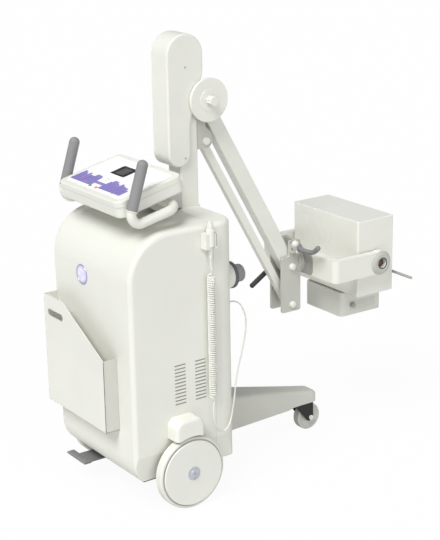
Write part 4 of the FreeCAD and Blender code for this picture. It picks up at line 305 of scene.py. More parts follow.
def blend_tones(tree, mask, first, second):
    """Mix two colours by a mask; each is a socket or a plain colour."""
    mix = add(tree, "Mix")
    mix.data_type = "RGBA"
    return fill(tree, mix, Factor=mask, A=first, B=second).outputs["Result"]


def fresh_material(name):
    """A new material with its node tree and its Principled shader."""
    material = bpy.data.materials.new(name)
    material.use_nodes = True
    return material, material.node_tree, material.node_tree.nodes["Principled BSDF"]


def place_effect(tree, group, **values):
    """A group node with its values set."""
    node = add(tree, "Group")
    node.node_tree = group
    return fill(tree, node, **values)


def add_relief(tree, height, strength):
    """A bump from a height, on the Principled shader."""
    relief = add(tree, "Bump", Strength=strength, Distance=0.001, Height=height)
    fill(tree, tree.nodes["Principled BSDF"], Normal=relief.outputs["Normal"])


def finish(name, tones, rough, gloss_drift=0.06, metal=0.0, coat=0.0, grain=900, cloud=6, bump=0.06,
           dust=0.10, ribs=None, rib_bump=0.0, zone=None, shine=0.5):
    """A surface with clouds in its tone, rubbed edges with a painted highlight, light dust and a fine bump.

    tones gives the main, the drifting and the rubbed tone; the rubbed tone is also a painted highlight on
    edges. ribs gives a direction and a count per metre; zone gives a direction, a limit and a second tone.
    """
    material, tree, shader = fresh_material(name)
    main, drift, edge = (tone(code) for code in tones.split())
    body = place_effect(tree, grain_group, Grain_Scale=grain, Cloud_Scale=cloud)
    rubbed_and_highlight = place_effect(tree, edge_wear_and_highlight_group, Reach=EDGE_REACH)
    dusty = place_effect(tree, dust_group, Amount=dust)
    colour = blend_tones(tree, body.outputs["Cloud"], main, drift)
    if zone:
        part = place_effect(tree, zone_group, Along_X=zone[0], Along_Y=zone[1], Along_Z=zone[2],
                            Limit=zone[3])
        colour = blend_tones(tree, part.outputs["Mask"], colour, tone(zone[4]))
    # The edge tone is rubbed paint and also a painted highlight along every edge.
    colour = blend_tones(tree, rubbed_and_highlight.outputs["Mask"], colour, edge)
    colour = blend_tones(tree, dusty.outputs["Mask"], colour, tone(DUST_TONE))
    spread = add(tree, "MapRange", Value=body.outputs["Cloud"], To_Min=rough - gloss_drift,
                 To_Max=rough + gloss_drift)
    fill(tree, shader, Base_Color=colour, Roughness=spread.outputs["Result"], Metallic=metal,
         Specular_IOR_Level=shine, Coat_Weight=coat)
    height = body.outputs["Height"]
    if ribs:
        lines = place_effect(tree, rib_group, Along_X=ribs[0], Along_Y=ribs[1], Along_Z=ribs[2],
                             Ribs_per_Metre=ribs[3])
        ridge = math_node(tree, "MULTIPLY", lines.outputs["Height"], rib_bump)
        height = math_node(tree, "ADD", height, ridge)
    add_relief(tree, height, bump)
    return material


print("finish builder ready")

# %% [markdown]
# The whole unit is cream: moulded covers, smoother enamel on the column, arm and head, and a
# slightly greyer enamel on the cast brackets and the leg. Small parts are grey, dark or violet.

# %% The finishes
casing = finish("casing_cream", "E7E7DF E3E3DA F0F0EA", 0.42, bump=0.10, dust=0.06, cloud=3)
cover = finish("cover_cream", "E9E9E1 E5E5DC F1F1EB", 0.40, bump=0.09, dust=0.05, cloud=4)
enamel = finish("enamel_white", "E8E8E0 E4E4DB F2F2EC", 0.33, coat=0.15, grain=420, bump=0.03,
                dust=0.06)
# The zone past x 151 mm darkens the bin's right side: painted shade on the sheet's narrow side.
sheet = finish("sheet_cream_shaded_side", "E5E5DD E1E1D9 F0F0EA", 0.38, grain=350, bump=0.04, dust=0.08,
               zone=(-1, 0, 0, -0.1512, "CFCFC7"))
bracket = finish("bracket_grey", "C3C3BC BDBDB6 D8D8D1", 0.38, coat=0.1, grain=380, bump=0.05)
leg_paint = finish("leg_cream", "D0D0C8 CACAC1 E0E0D8", 0.40, grain=380, bump=0.05, dust=0.16)
steel = finish("plated_steel", "BFC1C4 AEB0B3 DADCDE", 0.28, metal=1.0, grain=1500, bump=0.03,
               dust=0.03)
chassis = finish("chassis_black", "2B2B2C 232324 5A5A58", 0.5, grain=500, bump=0.08, dust=0.25)
tyre_rubber = finish("tyre_rubber", "E2E2DB DCDCD4 EBEBE5", 0.58, grain=700, bump=0.15, dust=0.12)
wheel_disc = finish("wheel_disc", "E5E5DE E1E1DA EFEFEA", 0.36, bump=0.05, grain=600, dust=0.08)
hub_grey = finish("hub_grey", "C2C5CD B6BAC3 DADDE2", 0.34, metal=0.15, bump=0.03)
fork_black = finish("fork_black", "1B1B1C 161617 3C3C3B", 0.5, bump=0.06, dust=0.05)
pin_cream = finish("pin_cream", "E7E7E0 E1E1D9 F3F3EE", 0.38, coat=0.2, bump=0.04, dust=0.04)
pad_rubber = finish("pad_rubber", "87878A 7D7D80 9F9FA1", 0.62, bump=0.18, dust=0.14)
knob_body = finish("knob_body", "969497 8D8B8E ABA9AC", 0.45, bump=0.08)
knob_dark = finish("knob_dark", "6A686B 615F62 8F8D90", 0.5, bump=0.1)
hub_paint = finish("hub_paint", "BEBEB9 B6B6B0 D4D4CE", 0.36, coat=0.15, bump=0.04)
# Painted shade: the dark of the hub holes, on the trunnion ends and on the holes' rims.
painted_shade_dark = finish("painted_shade_dark", "4A4A4B 404041 6A6A6A", 0.6, bump=0.1)
roller = finish("roller_grey", "CFCFC8 C6C6BF DDDDD7", 0.5, bump=0.1, dust=0.12)
grip_rubber = finish("grip_rubber", "908F90 878687 9E9D9E", 0.58, grain=1400, bump=0.22, dust=0.05)
knob_plastic = finish("knob_plastic", "969497 8D8B8E ABA9AC", 0.45, bump=0.08,
                      zone=(0, 1, 0, -0.0976, "5E5C60"))
lever_black = finish("lever_black", "3C3C3C 333334 6B6B6B", 0.45, bump=0.1)
lever_grey = finish("lever_grey", "8A8A8A 7F7F80 A5A5A5", 0.45, bump=0.1)
rod_grey = finish("rod_grey", "A9A9A6 9F9F9C C2C2BF", 0.4, coat=0.2, bump=0.05)
pedal_paint = finish("pedal_paint", "828283 787879 A3A3A2", 0.45, bump=0.06, dust=0.2)
printed = dict(gloss_drift=0.03, bump=0.03, dust=0.02)
film = finish("panel_film", "FCFCFB FAFAF8 FFFFFF", 0.30, grain=1200, **printed)
violet = finish("panel_violet", "8F83C8 8A7EC4 A79DD6", 0.32, grain=1200, **printed)
violet_deep = finish("panel_violet_deep", "7C70BA 786CB6 978CCB", 0.32, **printed)
mauve = finish("panel_mauve", "9A7FB8 9277B0 B59CCB", 0.32, **printed)
pale_violet = finish("panel_pale_violet", "CFCBE4 C6C2DE E4E2F0", 0.35, gloss_drift=0.03, bump=0.02,
                     dust=0.02)
lamp_green = finish("lamp_green", "9ED6C2 8ECBB5 C8EADF", 0.25, coat=0.3, bump=0.02, dust=0.02)
screen = dict(gloss_drift=0.02, bump=0.01, dust=0.02)
screen_dark = finish("screen_dark", "222224 1D1D1F 333335", 0.40, shine=0.15, **screen)
screen_face = finish("screen_face", "515256 46474A 5D5E61", 0.34, shine=0.3, cloud=60, **screen)
green_key = finish("key_green", "3FAE5E 38A457 6BCB86", 0.3, coat=0.3, bump=0.03)
orange_key = finish("key_orange", "EE8B3C E98335 F5A565", 0.3, coat=0.3, bump=0.03)
circuit = finish("circuit_green", "1F5B34 1B522E 3B7A4F", 0.35, bump=0.1)
jacket = finish("cord_jacket", "EAEAE4 E4E4DD F2F2EE", 0.5, grain=1600, bump=0.08, dust=0.04)
handset = finish("handset_cream", "EAEAE3 E5E5DE F3F3EE", 0.36, bump=0.07)
lead_metal = finish("lead_metal", "6E7074 64666A 85878B", 0.45, metal=0.8, bump=0.1)
tank_metal = finish("tank_metal", "A5A8AA 9B9EA0 BDBFC1", 0.4, metal=0.7, grain=500, bump=0.06,
                    ribs=(0, 0, 1, 160), rib_bump=0.2)
cell_case = finish("cell_case", "2C2D30 252629 4C4D50", 0.5, bump=0.12)
copper = finish("copper_contact", "8A5E42 7A5138 B48A6C", 0.35, metal=0.9, bump=0.04)
seal = finish("seal_grey", "A9A9A4 A0A09B B8B8B3", 0.6, bump=0.1)
shade_line = finish("seam_shade", "C9C9C1 C2C2BA D4D4CC", 0.6, bump=0.03)
lilac = finish("roundel_lilac", "DAD8F2 CECBEC EAE8F8", 0.25, coat=0.5, bump=0.02, dust=0.02)
pearl = finish("roundel_pearl", "F2F1FB D5D2F0 FFFFFF", 0.22, coat=0.6, bump=0.02, dust=0.02,
               cloud=70)
slot_shade = finish("slot_shade", "A6A69E 9C9C94 B6B6AE", 0.6, bump=0.03)
band_grey = finish("band_grey", "A3A39D 999993 BFBFB9", 0.45, bump=0.06)
# A greyer cream for the collimator: partly its own paint, partly painted shade from the head above it.
collimator_grey_and_shade = finish("collimator_grey_and_shade", "D9D9D1 D3D3CB E8E8E1", 0.36, coat=0.1, grain=420, bump=0.03,
                  dust=0.06)
lilac_rim = finish("roundel_rim", "B4B2DC A8A6D2 D6D4EE", 0.3, metal=0.4, coat=0.3, bump=0.02)
print("finishes", len([m for m in bpy.data.materials if m.use_nodes]))

# %% Clear plate and tube glass
def clear_glass(name, tint, rough, ior):
    """Glass with a faint tint; the bump breaks the reflections as real pressed glass does."""
    material, tree, shader = fresh_material(name)
    ripple = place_effect(tree, grain_group, Grain_Scale=60.0, Cloud_Scale=8.0)
    colour = blend_tones(tree, ripple.outputs["Cloud"], tone(tint), tone("F4F6F6"))
    add_relief(tree, ripple.outputs["Height"], 0.05)
    fill(tree, shader, Base_Color=colour, Roughness=rough, IOR=ior, Transmission_Weight=0.9)
    return material


plate_clear = clear_glass("beam_plate", "E9EEEE", 0.12, 1.49)
tube_glass = clear_glass("tube_glass", "E3EAE6", 0.03, 1.5)
print("glasses", plate_clear.name, tube_glass.name)

# %% Give every solid its finish
finish_of = {
    casing: "cabinet_shell",
    cover: "forward_cover wheel_fenders console_base console_cover pivot_disc",
    enamel: "column spring_housing arm_beam tie_rod yoke head_housing head_lid handle_bar",
    collimator_grey_and_shade: "collimator_body",
    sheet: "cassette_bin",
    bracket: "pivot_bracket fork_bracket console_bracket",
    pin_cream: "pivot_pins fork_bolts lock_knob caster_bolt",
    leg_paint: "front_leg",
    steel: "rear_axle spring_cartridge",
    chassis: "chassis_tray axle_blocks",
    tyre_rubber: "tyre_right tyre_left",
    wheel_disc: "wheel_right wheel_left",
    hub_grey: "hub_cap_right hub_cap_left",
    fork_black: "caster_fork",
    roller: "caster_wheel",
    grip_rubber: "hand_grips",
    knob_plastic: "latch_knob",
    lever_black: "lift_lever",
    lever_grey: "swivel_lever",
    seal: "field_knob",
    rod_grey: "head_handle",
    pedal_paint: "brake_pedal",
    film: "keypad_membrane",
    screen_dark: "display_window",
    green_key: "on_button",
    orange_key: "off_button",
    circuit: "console_board",
    jacket: "switch_relief cord_gland",
    handset: "switch_holder handswitch_body exposure_button",
    lead_metal: "collimator_blades",
    plate_clear: "beam_window",
    tube_glass: "tube_insert",
    tank_metal: "generator_box",
    cell_case: "battery_pack",
}
for material, names in finish_of.items():
    for name in names.split():
        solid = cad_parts[name]
        if not solid.material_slots:
            solid.data.materials.append(material)
        for entry in solid.material_slots:
            entry.material = material
print("finished solids", sum(len(names.split()) for names in finish_of.values()))

# %% [markdown]
# ## Making small pieces
# Three helpers cover most trim. A turned form spins a profile about an axis, as a lathe does. A
# plate is an outline pushed up and bevelled on its top edge. A bead is a round bar along points.

# %% Shared mesh helpers
def settle(name, bm, body, material, crease=35):
    """Make an object of a built mesh, smooth except at sharp turns; it rides on a body, if one is given."""
    bmesh.ops.recalc_face_normals(bm, faces=bm.faces)
    mesh = bpy.data.meshes.new(name)
    bm.to_mesh(mesh)
    bm.free()
    mesh.materials.append(material)
    for face in mesh.polygons:
        face.use_smooth = True
    mesh.set_sharp_from_angle(angle=math.radians(crease))
    piece = bpy.data.objects.new(name, mesh)
    scene.collection.objects.link(piece)
    if body:
        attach(piece, body)
    return piece


def facing(origin, normal, sideways=(1, 0, 0)):
    """A placing matrix: its third axis is the normal and its first lies along sideways."""
    n = Vector(normal).normalized()
    u = (Vector(sideways) - n * n.dot(Vector(sideways))).normalized()
    v = n.cross(u)
    return Matrix.Translation(origin) @ Matrix((u, v, n)).transposed().to_4x4()


def on_side(side, x, y, z):
    """A placing that looks to the right (1) or the left (-1), x from the middle."""
    return facing(spot(side * x, y, z), (side, 0, 0), (0, 1, 0))


def band(bm, low, high):
    """Add faces between two rings of points; a ring of one point is a tip."""
    count = max(len(low), len(high))
    for i in range(count):
        j = (i + 1) % count
        corners = [low[i % len(low)], low[j % len(low)], high[j % len(high)], high[i % len(high)]]
        bm.faces.new(list(dict.fromkeys(corners)))


def in_space(outline, height, place):
    """The points of an outline in millimetres, at one height above a placing."""
    return [place @ Vector((a / 1000, b / 1000, height / 1000)) for a, b in outline]


def arc(centre, wide, high, angles):
    """Points on an ellipse, by their angles in degrees."""
    return [(centre[0] + wide * math.cos(math.radians(a)), centre[1] + high * math.sin(math.radians(a)))
            for a in angles]


def spun(bm, profile, place, around=48):
    """Add a turned form to a mesh; the profile gives (radius, height) in millimetres."""
    angles = [360 * i / around for i in range(around)]
    rings = [[bm.verts.new(p) for p in in_space(
        arc((0, 0), radius, radius, angles) if radius > 1e-6 else [(0, 0)], height, place)]
        for radius, height in profile]
    for low, high in zip(rings, rings[1:]):
        band(bm, low, high)


def turned(name, profile, place, body, material, slot_name, around=48, crease=35):
    """A piece of its own that is one turned form."""
    bm = bmesh.new()
    spun(bm, profile, place, around)
    return settle(name, bm, body, material, crease)


def raised(bm, outline, low, high, place, soften=0.0):
    """Add a plate to a mesh: an outline in millimetres from one height to another, top edge bevelled."""
    base, top = ([bm.verts.new(p) for p in in_space(outline, level, place)] for level in (low, high))
    lid = bm.faces.new(top)
    bm.faces.new(list(reversed(base)))
    band(bm, base, top)
    if soften:
        bmesh.ops.bevel(bm, geom=list(lid.edges), offset=soften / 1000, segments=2,
                        affect="EDGES", profile=0.6)


def bead(bm, points, radius, around=10, closed=False):
    """Add a round bar along points (metres) to a mesh; the radius is in millimetres."""
    count = len(points)
    rings = []
    side = None
    for i, point in enumerate(points):
        before = points[i - 1] if closed or i else points[0]
        after = points[(i + 1) % count] if closed or i < count - 1 else points[-1]
        ahead = (after - before).normalized()
        side = (side - ahead * side.dot(ahead) if side else ahead.orthogonal()).normalized()
        other = ahead.cross(side)
        rings.append([bm.verts.new(point + (side * math.cos(2 * math.pi * k / around)
                                            + other * math.sin(2 * math.pi * k / around)) * radius / 1000)
                      for k in range(around)])
    pairs = list(zip(rings, rings[1:]))
    if closed:
        start = min(range(around), key=lambda k: (rings[-1][0].co - rings[0][k].co).length)
        pairs.append((rings[-1], rings[0][start:] + rings[0][:start]))
    else:
        bm.faces.new(list(reversed(rings[0])))
        bm.faces.new(rings[-1])
    for low, high in pairs:
        band(bm, low, high)


def rounded_box(width, depth, radius, steps=6, centre=(0, 0)):
    """The outline of a rectangle with round corners, counter-clockwise."""
    points = []
    for sx, sy, start in ((1, 1, 0), (-1, 1, 90), (-1, -1, 180), (1, -1, 270)):
        corner = (centre[0] + sx * (width / 2 - radius), centre[1] + sy * (depth / 2 - radius))
        points += arc(corner, radius, radius, [start + 90 * i / steps for i in range(steps + 1)])
    return points


print("helpers ready")

# %% [markdown]
# ## The lead of the handswitch
# The handswitch hangs in its holder on the cabinet's side. Its lead drops straight, runs down in
# a long curly stretch, then turns up round the corner to a gland in the forward cover. One smooth
# spline is the centre line, with the drawing's route points as control points. The curly stretch
# is a helix about that line. It eases in and out so that the lead never bends tighter than twice its
# thickness. The lead is one mesh tube.

# %% The centre line of the lead
SWITCH_X, SWITCH_Y = 263.0, 106.0
RELIEF_END, COIL_TOP, COIL_BOTTOM = 834.0, 812.0, 322.0
LEAD_ROUTE = (
    (263, 106, 290), (262, 114, 252), (259, 133, 224), (256, 160, 222), (253, 181, 246), (247, 194, 286),
    (238, 209, 328), (224, 224, 370), (211, 246, 414), (201, 268, 460), (192, 288, 508), (184, 300, 550),
    (175, 300, 586), (168, 288, 616), (165, 264, 632), (165, 240, 632),
)


def mesh_of(data):
    """The mesh of bare curve data."""
    holder = bpy.data.objects.new(data.name, data)
    scene.collection.objects.link(holder)
    bpy.context.view_layer.update()
    mesh = bpy.data.meshes.new_from_object(holder)
    bpy.data.objects.remove(holder)
    return mesh


def smooth_line(name, points):
    """The points of a NURBS curve of order three along control points, held at both ends."""
    data = bpy.data.curves.new(name, "CURVE")
    data.dimensions = "3D"
    line = data.splines.new("NURBS")
    line.points.add(len(points) - 1)
    for entry, point in zip(line.points, points):
        entry.co = (*point, 1)
    line.order_u = 3
    line.use_endpoint_u = True
    line.resolution_u = 12
    shape = mesh_of(data)
    smooth = [v.co.copy() for v in shape.vertices]
    bpy.data.meshes.remove(shape)
    return smooth


straight = [spot(SWITCH_X, SWITCH_Y, z) for z in (RELIEF_END, 823, COIL_TOP, 689, 567, 445, COIL_BOTTOM)]
centre_line = smooth_line("lead_route", straight + [spot(*p) for p in LEAD_ROUTE])
print("centre line points", len(centre_line))

# %% The curly stretch as a helix
LEAD_RADIUS = 2.5
COIL_RADIUS = 11.5
COIL_TURNS = 58
STEPS_PER_TURN = 16
COIL_LEAD_IN = 1.75
COIL_STRETCH = 6.0
CURL_TOP, CURL_BOTTOM = 823.0, 312.0


def along(points, share):
    """The point at a share of a polyline's length."""
    runs = [(b - a).length for a, b in zip(points, points[1:])]
    left = share * sum(runs)
    for i, run in enumerate(runs):
        if left <= run:
            return points[i].lerp(points[i + 1], left / run)
        left -= run
    return points[-1]


def curled(points, turns, radius):
    """A helix round a nearly upright line; its end turns are slower, longer and narrower."""
    steps = turns * STEPS_PER_TURN
    turned = fallen = 0.0
    track = [(turned, fallen)]
    for i in range(steps):
        ease = min(1.0, (min(i, steps - 1 - i) + 0.5) / (STEPS_PER_TURN * COIL_LEAD_IN))
        turned += ease
        fallen += 1 + COIL_STRETCH * (1 - ease)
        track.append((turned, fallen))
    helix = []
    for i, (spin, drop) in enumerate(track):
        ease = min(1.0, min(i, steps - i) / (STEPS_PER_TURN * COIL_LEAD_IN))
        swell = ease * ease * (3 - 2 * ease)
        angle = 2 * math.pi * spin / STEPS_PER_TURN
        outward = Vector((math.cos(angle), math.sin(angle), 0))
        helix.append(along(points, drop / fallen) + outward * radius * swell)
    return helix


coil_high, coil_low = spot(0, 0, CURL_TOP).z, spot(0, 0, CURL_BOTTOM).z
curl_start = next(i for i, p in enumerate(centre_line) if p.z <= coil_high)
curl_end = next(i for i, p in enumerate(centre_line) if p.z <= coil_low)
coil = curled(centre_line[curl_start:curl_end], COIL_TURNS, COIL_RADIUS / 1000)
lead_line = centre_line[:curl_start] + coil + centre_line[curl_end:]
lead_bm = bmesh.new()
bead(lead_bm, lead_line, LEAD_RADIUS, around=8)
lead = settle("handswitch_lead", lead_bm, None, jacket, 60)
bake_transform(lead)
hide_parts("lead_cord", "coil_cord")

# %% [markdown]
# ## Console
# The console's top is a white printed film with a violet block of keys along the front, a dark
# display and a pale rim. The film itself is a solid of the frame. The print is made of very thin
# plates, so that it is crisp from any distance and no picture file is needed.

# %% The tilted plane of the console
CONSOLE_TILT = math.radians(13)
CONSOLE_WIDE, CONSOLE_DEEP, CONSOLE_CORNER = 380.0, 250.0, 28.0
FILM_WIDE, FILM_NEAR, FILM_FAR, FILM_CORNER = 344.0, 22.0, 228.0, 14.0
FILM_TOP, INK = 0.3, 0.12
CONSOLE_EDGE = (0, -189, 1046.8)
console_up = Vector((0, -math.sin(CONSOLE_TILT), math.cos(CONSOLE_TILT)))
console_top = facing(spot(*CONSOLE_EDGE), console_up)
print("console plane normal", tuple(round(v, 3) for v in console_up))

# %% Violet key fields with a stepped upper edge
FIELD_FOOT = 38.0
LEFT_STEPS = ((-168, 104), (-151, 96), (-139, 88), (-131, 101), (-118, 90), (-90, 104), (-58, 96),
              (-48, 72))
RIGHT_STEPS = ((8, 92), (18, 104), (44, 96), (58, 88), (70, 100), (84, 92), (100, 88), (124, 76))
LEFT_END, RIGHT_END = -38.0, 140.0
BRIDGE = (-40.0, 12.0, 57.0, 71.0)


def skyline(steps, end, foot):
    """An outline with a flat foot and a stepped top, whose steps slope a little."""
    points = [(steps[0][0], foot), (end, foot)]
    stops = [start for start, top in steps[1:]] + [end]
    for (start, top), stop in reversed(list(zip(steps, stops))):
        points += [(stop - 1, top - 1), (start + 1.5, top)]
    return points


violet_bm = bmesh.new()
for steps, end in ((LEFT_STEPS, LEFT_END), (RIGHT_STEPS, RIGHT_END)):
    raised(violet_bm, skyline(steps, end, FIELD_FOOT), FILM_TOP, FILM_TOP + INK, console_top)
bridge_middle = ((BRIDGE[0] + BRIDGE[1]) / 2, (BRIDGE[2] + BRIDGE[3]) / 2)
raised(violet_bm, rounded_box(BRIDGE[1] - BRIDGE[0], BRIDGE[3] - BRIDGE[2], 3, centre=bridge_middle),
       FILM_TOP, FILM_TOP + INK * 0.9, console_top)
settle("key_field", violet_bm, "unit", violet)
print("key fields done")

# %% Keys on the violet fields
KEY_WIDE, KEY_DEEP, KEY_PITCH, ROW_PITCH = 12.5, 12.0, 16.4, 16.5
KEY_COUNT, KEY_ROWS, FIRST_ROW = 7, 3, FIELD_FOOT + 9.5
KEY_TOP, MARK_TOP = FILM_TOP + 0.6, FILM_TOP + 0.66
WARM_KEYS = ((2, 1), (4, 0), (5, 0))
key_bm = bmesh.new()
warm_bm = bmesh.new()
mark_bm = bmesh.new()
for left, tops in ((-158, LEFT_STEPS), (20, RIGHT_STEPS)):
    for i, row in [(i, row) for i in range(KEY_COUNT) for row in range(KEY_ROWS)]:
        a, b = left + KEY_PITCH * i, FIRST_ROW + row * ROW_PITCH
        roof = min([top for start, top in tops if start <= a + edge * KEY_WIDE][-1] for edge in (0.5, -0.5))
        if b + KEY_DEEP / 2 > roof - 2:
            continue
        warm = left < 0 and (i, row) in WARM_KEYS
        raised(warm_bm if warm else key_bm, rounded_box(KEY_WIDE, KEY_DEEP, 2.6, steps=4, centre=(a, b)),
               FILM_TOP + INK, KEY_TOP, console_top, 0.3)
        for wide, deep, ahead in ((4.4, 1.2, 1.6), (1.2, 4.0, -2.4)):
            raised(mark_bm, rounded_box(wide, deep, 0.5, steps=2, centre=(a, b + ahead)), KEY_TOP,
                   MARK_TOP, console_top)
settle("violet_keys", key_bm, "unit", violet_deep)
settle("warm_keys", warm_bm, "unit", mauve)
settle("key_marks", mark_bm, "unit", pale_violet)
print("keys done")

# %% Small prints on the white film: three pale legends and a green lamp
legend_bm = bmesh.new()
for a, b, wide in ((-26, 101, 13), (-14, 96, 9), (-20, 88, 11)):
    raised(legend_bm, rounded_box(wide, 3.2, 1.2, steps=3, centre=(a, b)), FILM_TOP, FILM_TOP + INK,
           console_top)
settle("film_legends", legend_bm, "unit", pale_violet)
turned("ready_lamp", [(0, 0.2), (3.4, 0.2), (3.4, 0.7), (2.4, 1.3), (0, 1.5)],
       console_top @ Matrix.Translation((0.101, 0.036, 0)), "unit", lamp_green, "keypad", around=32)
print("legends done")

# %% Display bezel and face
DISPLAY_MIDDLE = (-23.0, 162.0)
bezel_bm = bmesh.new()
bead(bezel_bm, in_space(rounded_box(82, 58, 3, centre=DISPLAY_MIDDLE), FILM_TOP, console_top), 0.9,
     closed=True)
settle("display_bezel", bezel_bm, "unit", screen_dark)
face_bm = bmesh.new()
raised(face_bm, rounded_box(46, 42, 2, centre=DISPLAY_MIDDLE), FILM_TOP, FILM_TOP + 0.15, console_top)
settle("display_face", face_bm, "unit", screen_face)
print("display done")

# %% Seam and rim of the console
SEAM_DROP, FILM_MARGIN = 20.0, 1.5
seam_bm = bmesh.new()
outline = rounded_box(CONSOLE_WIDE, CONSOLE_DEEP, CONSOLE_CORNER, steps=10, centre=(0, CONSOLE_DEEP / 2))
bead(seam_bm, in_space(outline, -SEAM_DROP, console_top), 0.7, around=8, closed=True)
settle("console_seam", seam_bm, "unit", shade_line)
rim_bm = bmesh.new()
outline = rounded_box(FILM_WIDE + 2 * FILM_MARGIN, FILM_FAR - FILM_NEAR + 2 * FILM_MARGIN,
                      FILM_CORNER + FILM_MARGIN, steps=8, centre=(0, (FILM_NEAR + FILM_FAR) / 2))
bead(rim_bm, in_space(outline, 0.2, console_top), 0.9, around=8, closed=True)
settle("film_rim", rim_bm, "unit", cover)
print("console trim done")

# %% [markdown]
# ## Cabinet trim
# A plain domed roundel sits high on the operator's side. The air slots get
# slanted fins behind them, as pressed louvres have, so that one doesn't look into a black hole.

# %% The plain roundel
DOME_RADIUS, DOME_FOOT, DOME_RISE = 29.0, 1.4, 3.2
ROUNDEL_MIDDLE = (-51, -189, 759)
roundel_place = facing(spot(*ROUNDEL_MIDDLE), (0, -1, 0))
turned("roundel_rim", [(0, -0.5), (34, -0.5), (34.5, 0.8), (33, 2.6), (30.5, 3.0), (29.5, 2.2),
                       (DOME_RADIUS, DOME_FOOT), (0, DOME_FOOT)],
       roundel_place, "unit", lilac_rim, "cover_cream")
dome = arc((0, DOME_FOOT), DOME_RADIUS, DOME_RISE, range(0, 90, 10))
turned("roundel_dome", [(0, 0.6), (DOME_RADIUS, 0.6)] + dome + [(0, DOME_FOOT + DOME_RISE)],
       roundel_place, "unit", pearl, "cover_cream", crease=50)
turned("roundel_ring", [(20, 3.3), (22.5, 3.6), (26.5, 2.9), (27.5, 2.2)], roundel_place, "unit", lilac,
       "cover_cream", crease=50)
print("roundel done")

# %% Fins behind the air slots
SLOT_COLUMNS, SLOT_LENGTH, SLOT_BOTTOM, SLOT_PITCH, SLOT_COUNT = (-8.0, 71.0), 43.0, 353.0, 12.1, 12
FIN = ((241.5, -0.6), (238.2, 4.2), (238.2, 5.6), (241.5, 0.6))
fin_bm = bmesh.new()
for side in (-1, 1):
    for middle in SLOT_COLUMNS:
        for row in range(SLOT_COUNT):
            z = SLOT_BOTTOM + SLOT_PITCH * row
            back, front = ([fin_bm.verts.new(spot(side * x, middle + half * SLOT_LENGTH, z + dz))
                            for x, dz in FIN] for half in (-0.5, 0.5))
            fin_bm.faces.new(back)
            fin_bm.faces.new(list(reversed(front)))
            band(fin_bm, back, front)
settle("slot_fins", fin_bm, "unit", slot_shade)
print("fins", 2 * len(SLOT_COLUMNS) * SLOT_COUNT)

# %% The seam between shell and cover, and the collar round the column
seam_bm = bmesh.new()
SEAM_Y = 130.0
for side in (-1, 1):
    line = [(227, 113), (242.8, 203)] + [(243, z) for z in (300, 500, 700, 900, 923)]
    line += arc((227, 924), 16, 16, range(15, 91, 15)) + [(x, 940) for x in (180, 100, 0)]
    bead(seam_bm, [spot(side * x, SEAM_Y, z) for x, z in line], 0.6, around=6)
settle("cover_seam", seam_bm, "unit", shade_line)
collar_bm = bmesh.new()
COLUMN_FOOT = (0, 183, 939.5)
collar_place = facing(spot(*COLUMN_FOOT), (0, 0, 1))
outer = rounded_box(82, 82, 9)
inner = rounded_box(72.6, 72.6, 6.2)
layers = [(inner, 0), (outer, 0), (outer, 1.6), (inner, 3.0)]
rings = [[collar_bm.verts.new(p) for p in in_space(ring, level, collar_place)] for ring, level in layers]
for low, high in zip(rings, rings[1:] + rings[:1]):
    band(collar_bm, low, high)
settle("column_collar", collar_bm, "unit", cover)
print("seam and collar done")

# %% [markdown]
# ## Cassette bin
# The bin is folded from thin sheet: a front with a hand slot, two sides and a floor, open towards
# the cabinet. A flat curve with a second outline inside it fills as a sheet with a hole, and its
# bevel breaks the cut edges. The open edge is hemmed, which shows as a small round bead.

# %% The front sheet with its hand slot
BIN_LEFT, BIN_RIGHT, BIN_FRONT, BIN_BACK = -226.0, 152.0, -241.0, -189.5
BIN_FLOOR, BIN_LOW, BIN_HIGH, BIN_STEP = 279.0, 525.0, 659.0, -100.0
SHEET_THICK, CUT_EDGE = 2.0, 0.35
SLOT_MIDDLE, SLOT_SIZE = (-152.0, 602.0), (98.0, 22.0, 10.9)


def blank_sheet(outlines):
    """A flat sheet of the bin's thickness whose later outlines are holes, with broken edges."""
    data = bpy.data.curves.new("sheet_blank", "CURVE")
    data.dimensions = "2D"
    data.fill_mode = "BOTH"
    data.extrude = (SHEET_THICK / 2 - CUT_EDGE) / 1000
    data.bevel_depth = CUT_EDGE / 1000
    data.bevel_resolution = 1
    data.offset = -CUT_EDGE / 1000
    for outline in outlines:
        line = data.splines.new("POLY")
        line.points.add(len(outline) - 1)
        for entry, (a, b) in zip(line.points, outline):
            entry.co = (a / 1000, b / 1000, 0, 1)
        line.use_cyclic_u = True
    return mesh_of(data)


step_arc = arc((BIN_STEP - 5.6, BIN_HIGH - 12), 12, 12, (62, 72, 81, 90))
front_outline = [(BIN_LEFT, BIN_FLOOR), (BIN_RIGHT, BIN_FLOOR), (BIN_RIGHT, BIN_LOW)] + step_arc
front_outline += [(BIN_LEFT, BIN_HIGH)]
hand_slot = rounded_box(*SLOT_SIZE, steps=8, centre=SLOT_MIDDLE)
depth = BIN_BACK - BIN_FRONT
print("front outline points", len(front_outline))

# %% Sides and floor, folded on
def blank(left, right, low, high):
    """The outline of a plain panel between four edges."""
    middle = ((left + right) / 2, (low + high) / 2)
    return [rounded_box(right - left, high - low, 1.5, steps=2, centre=middle)]


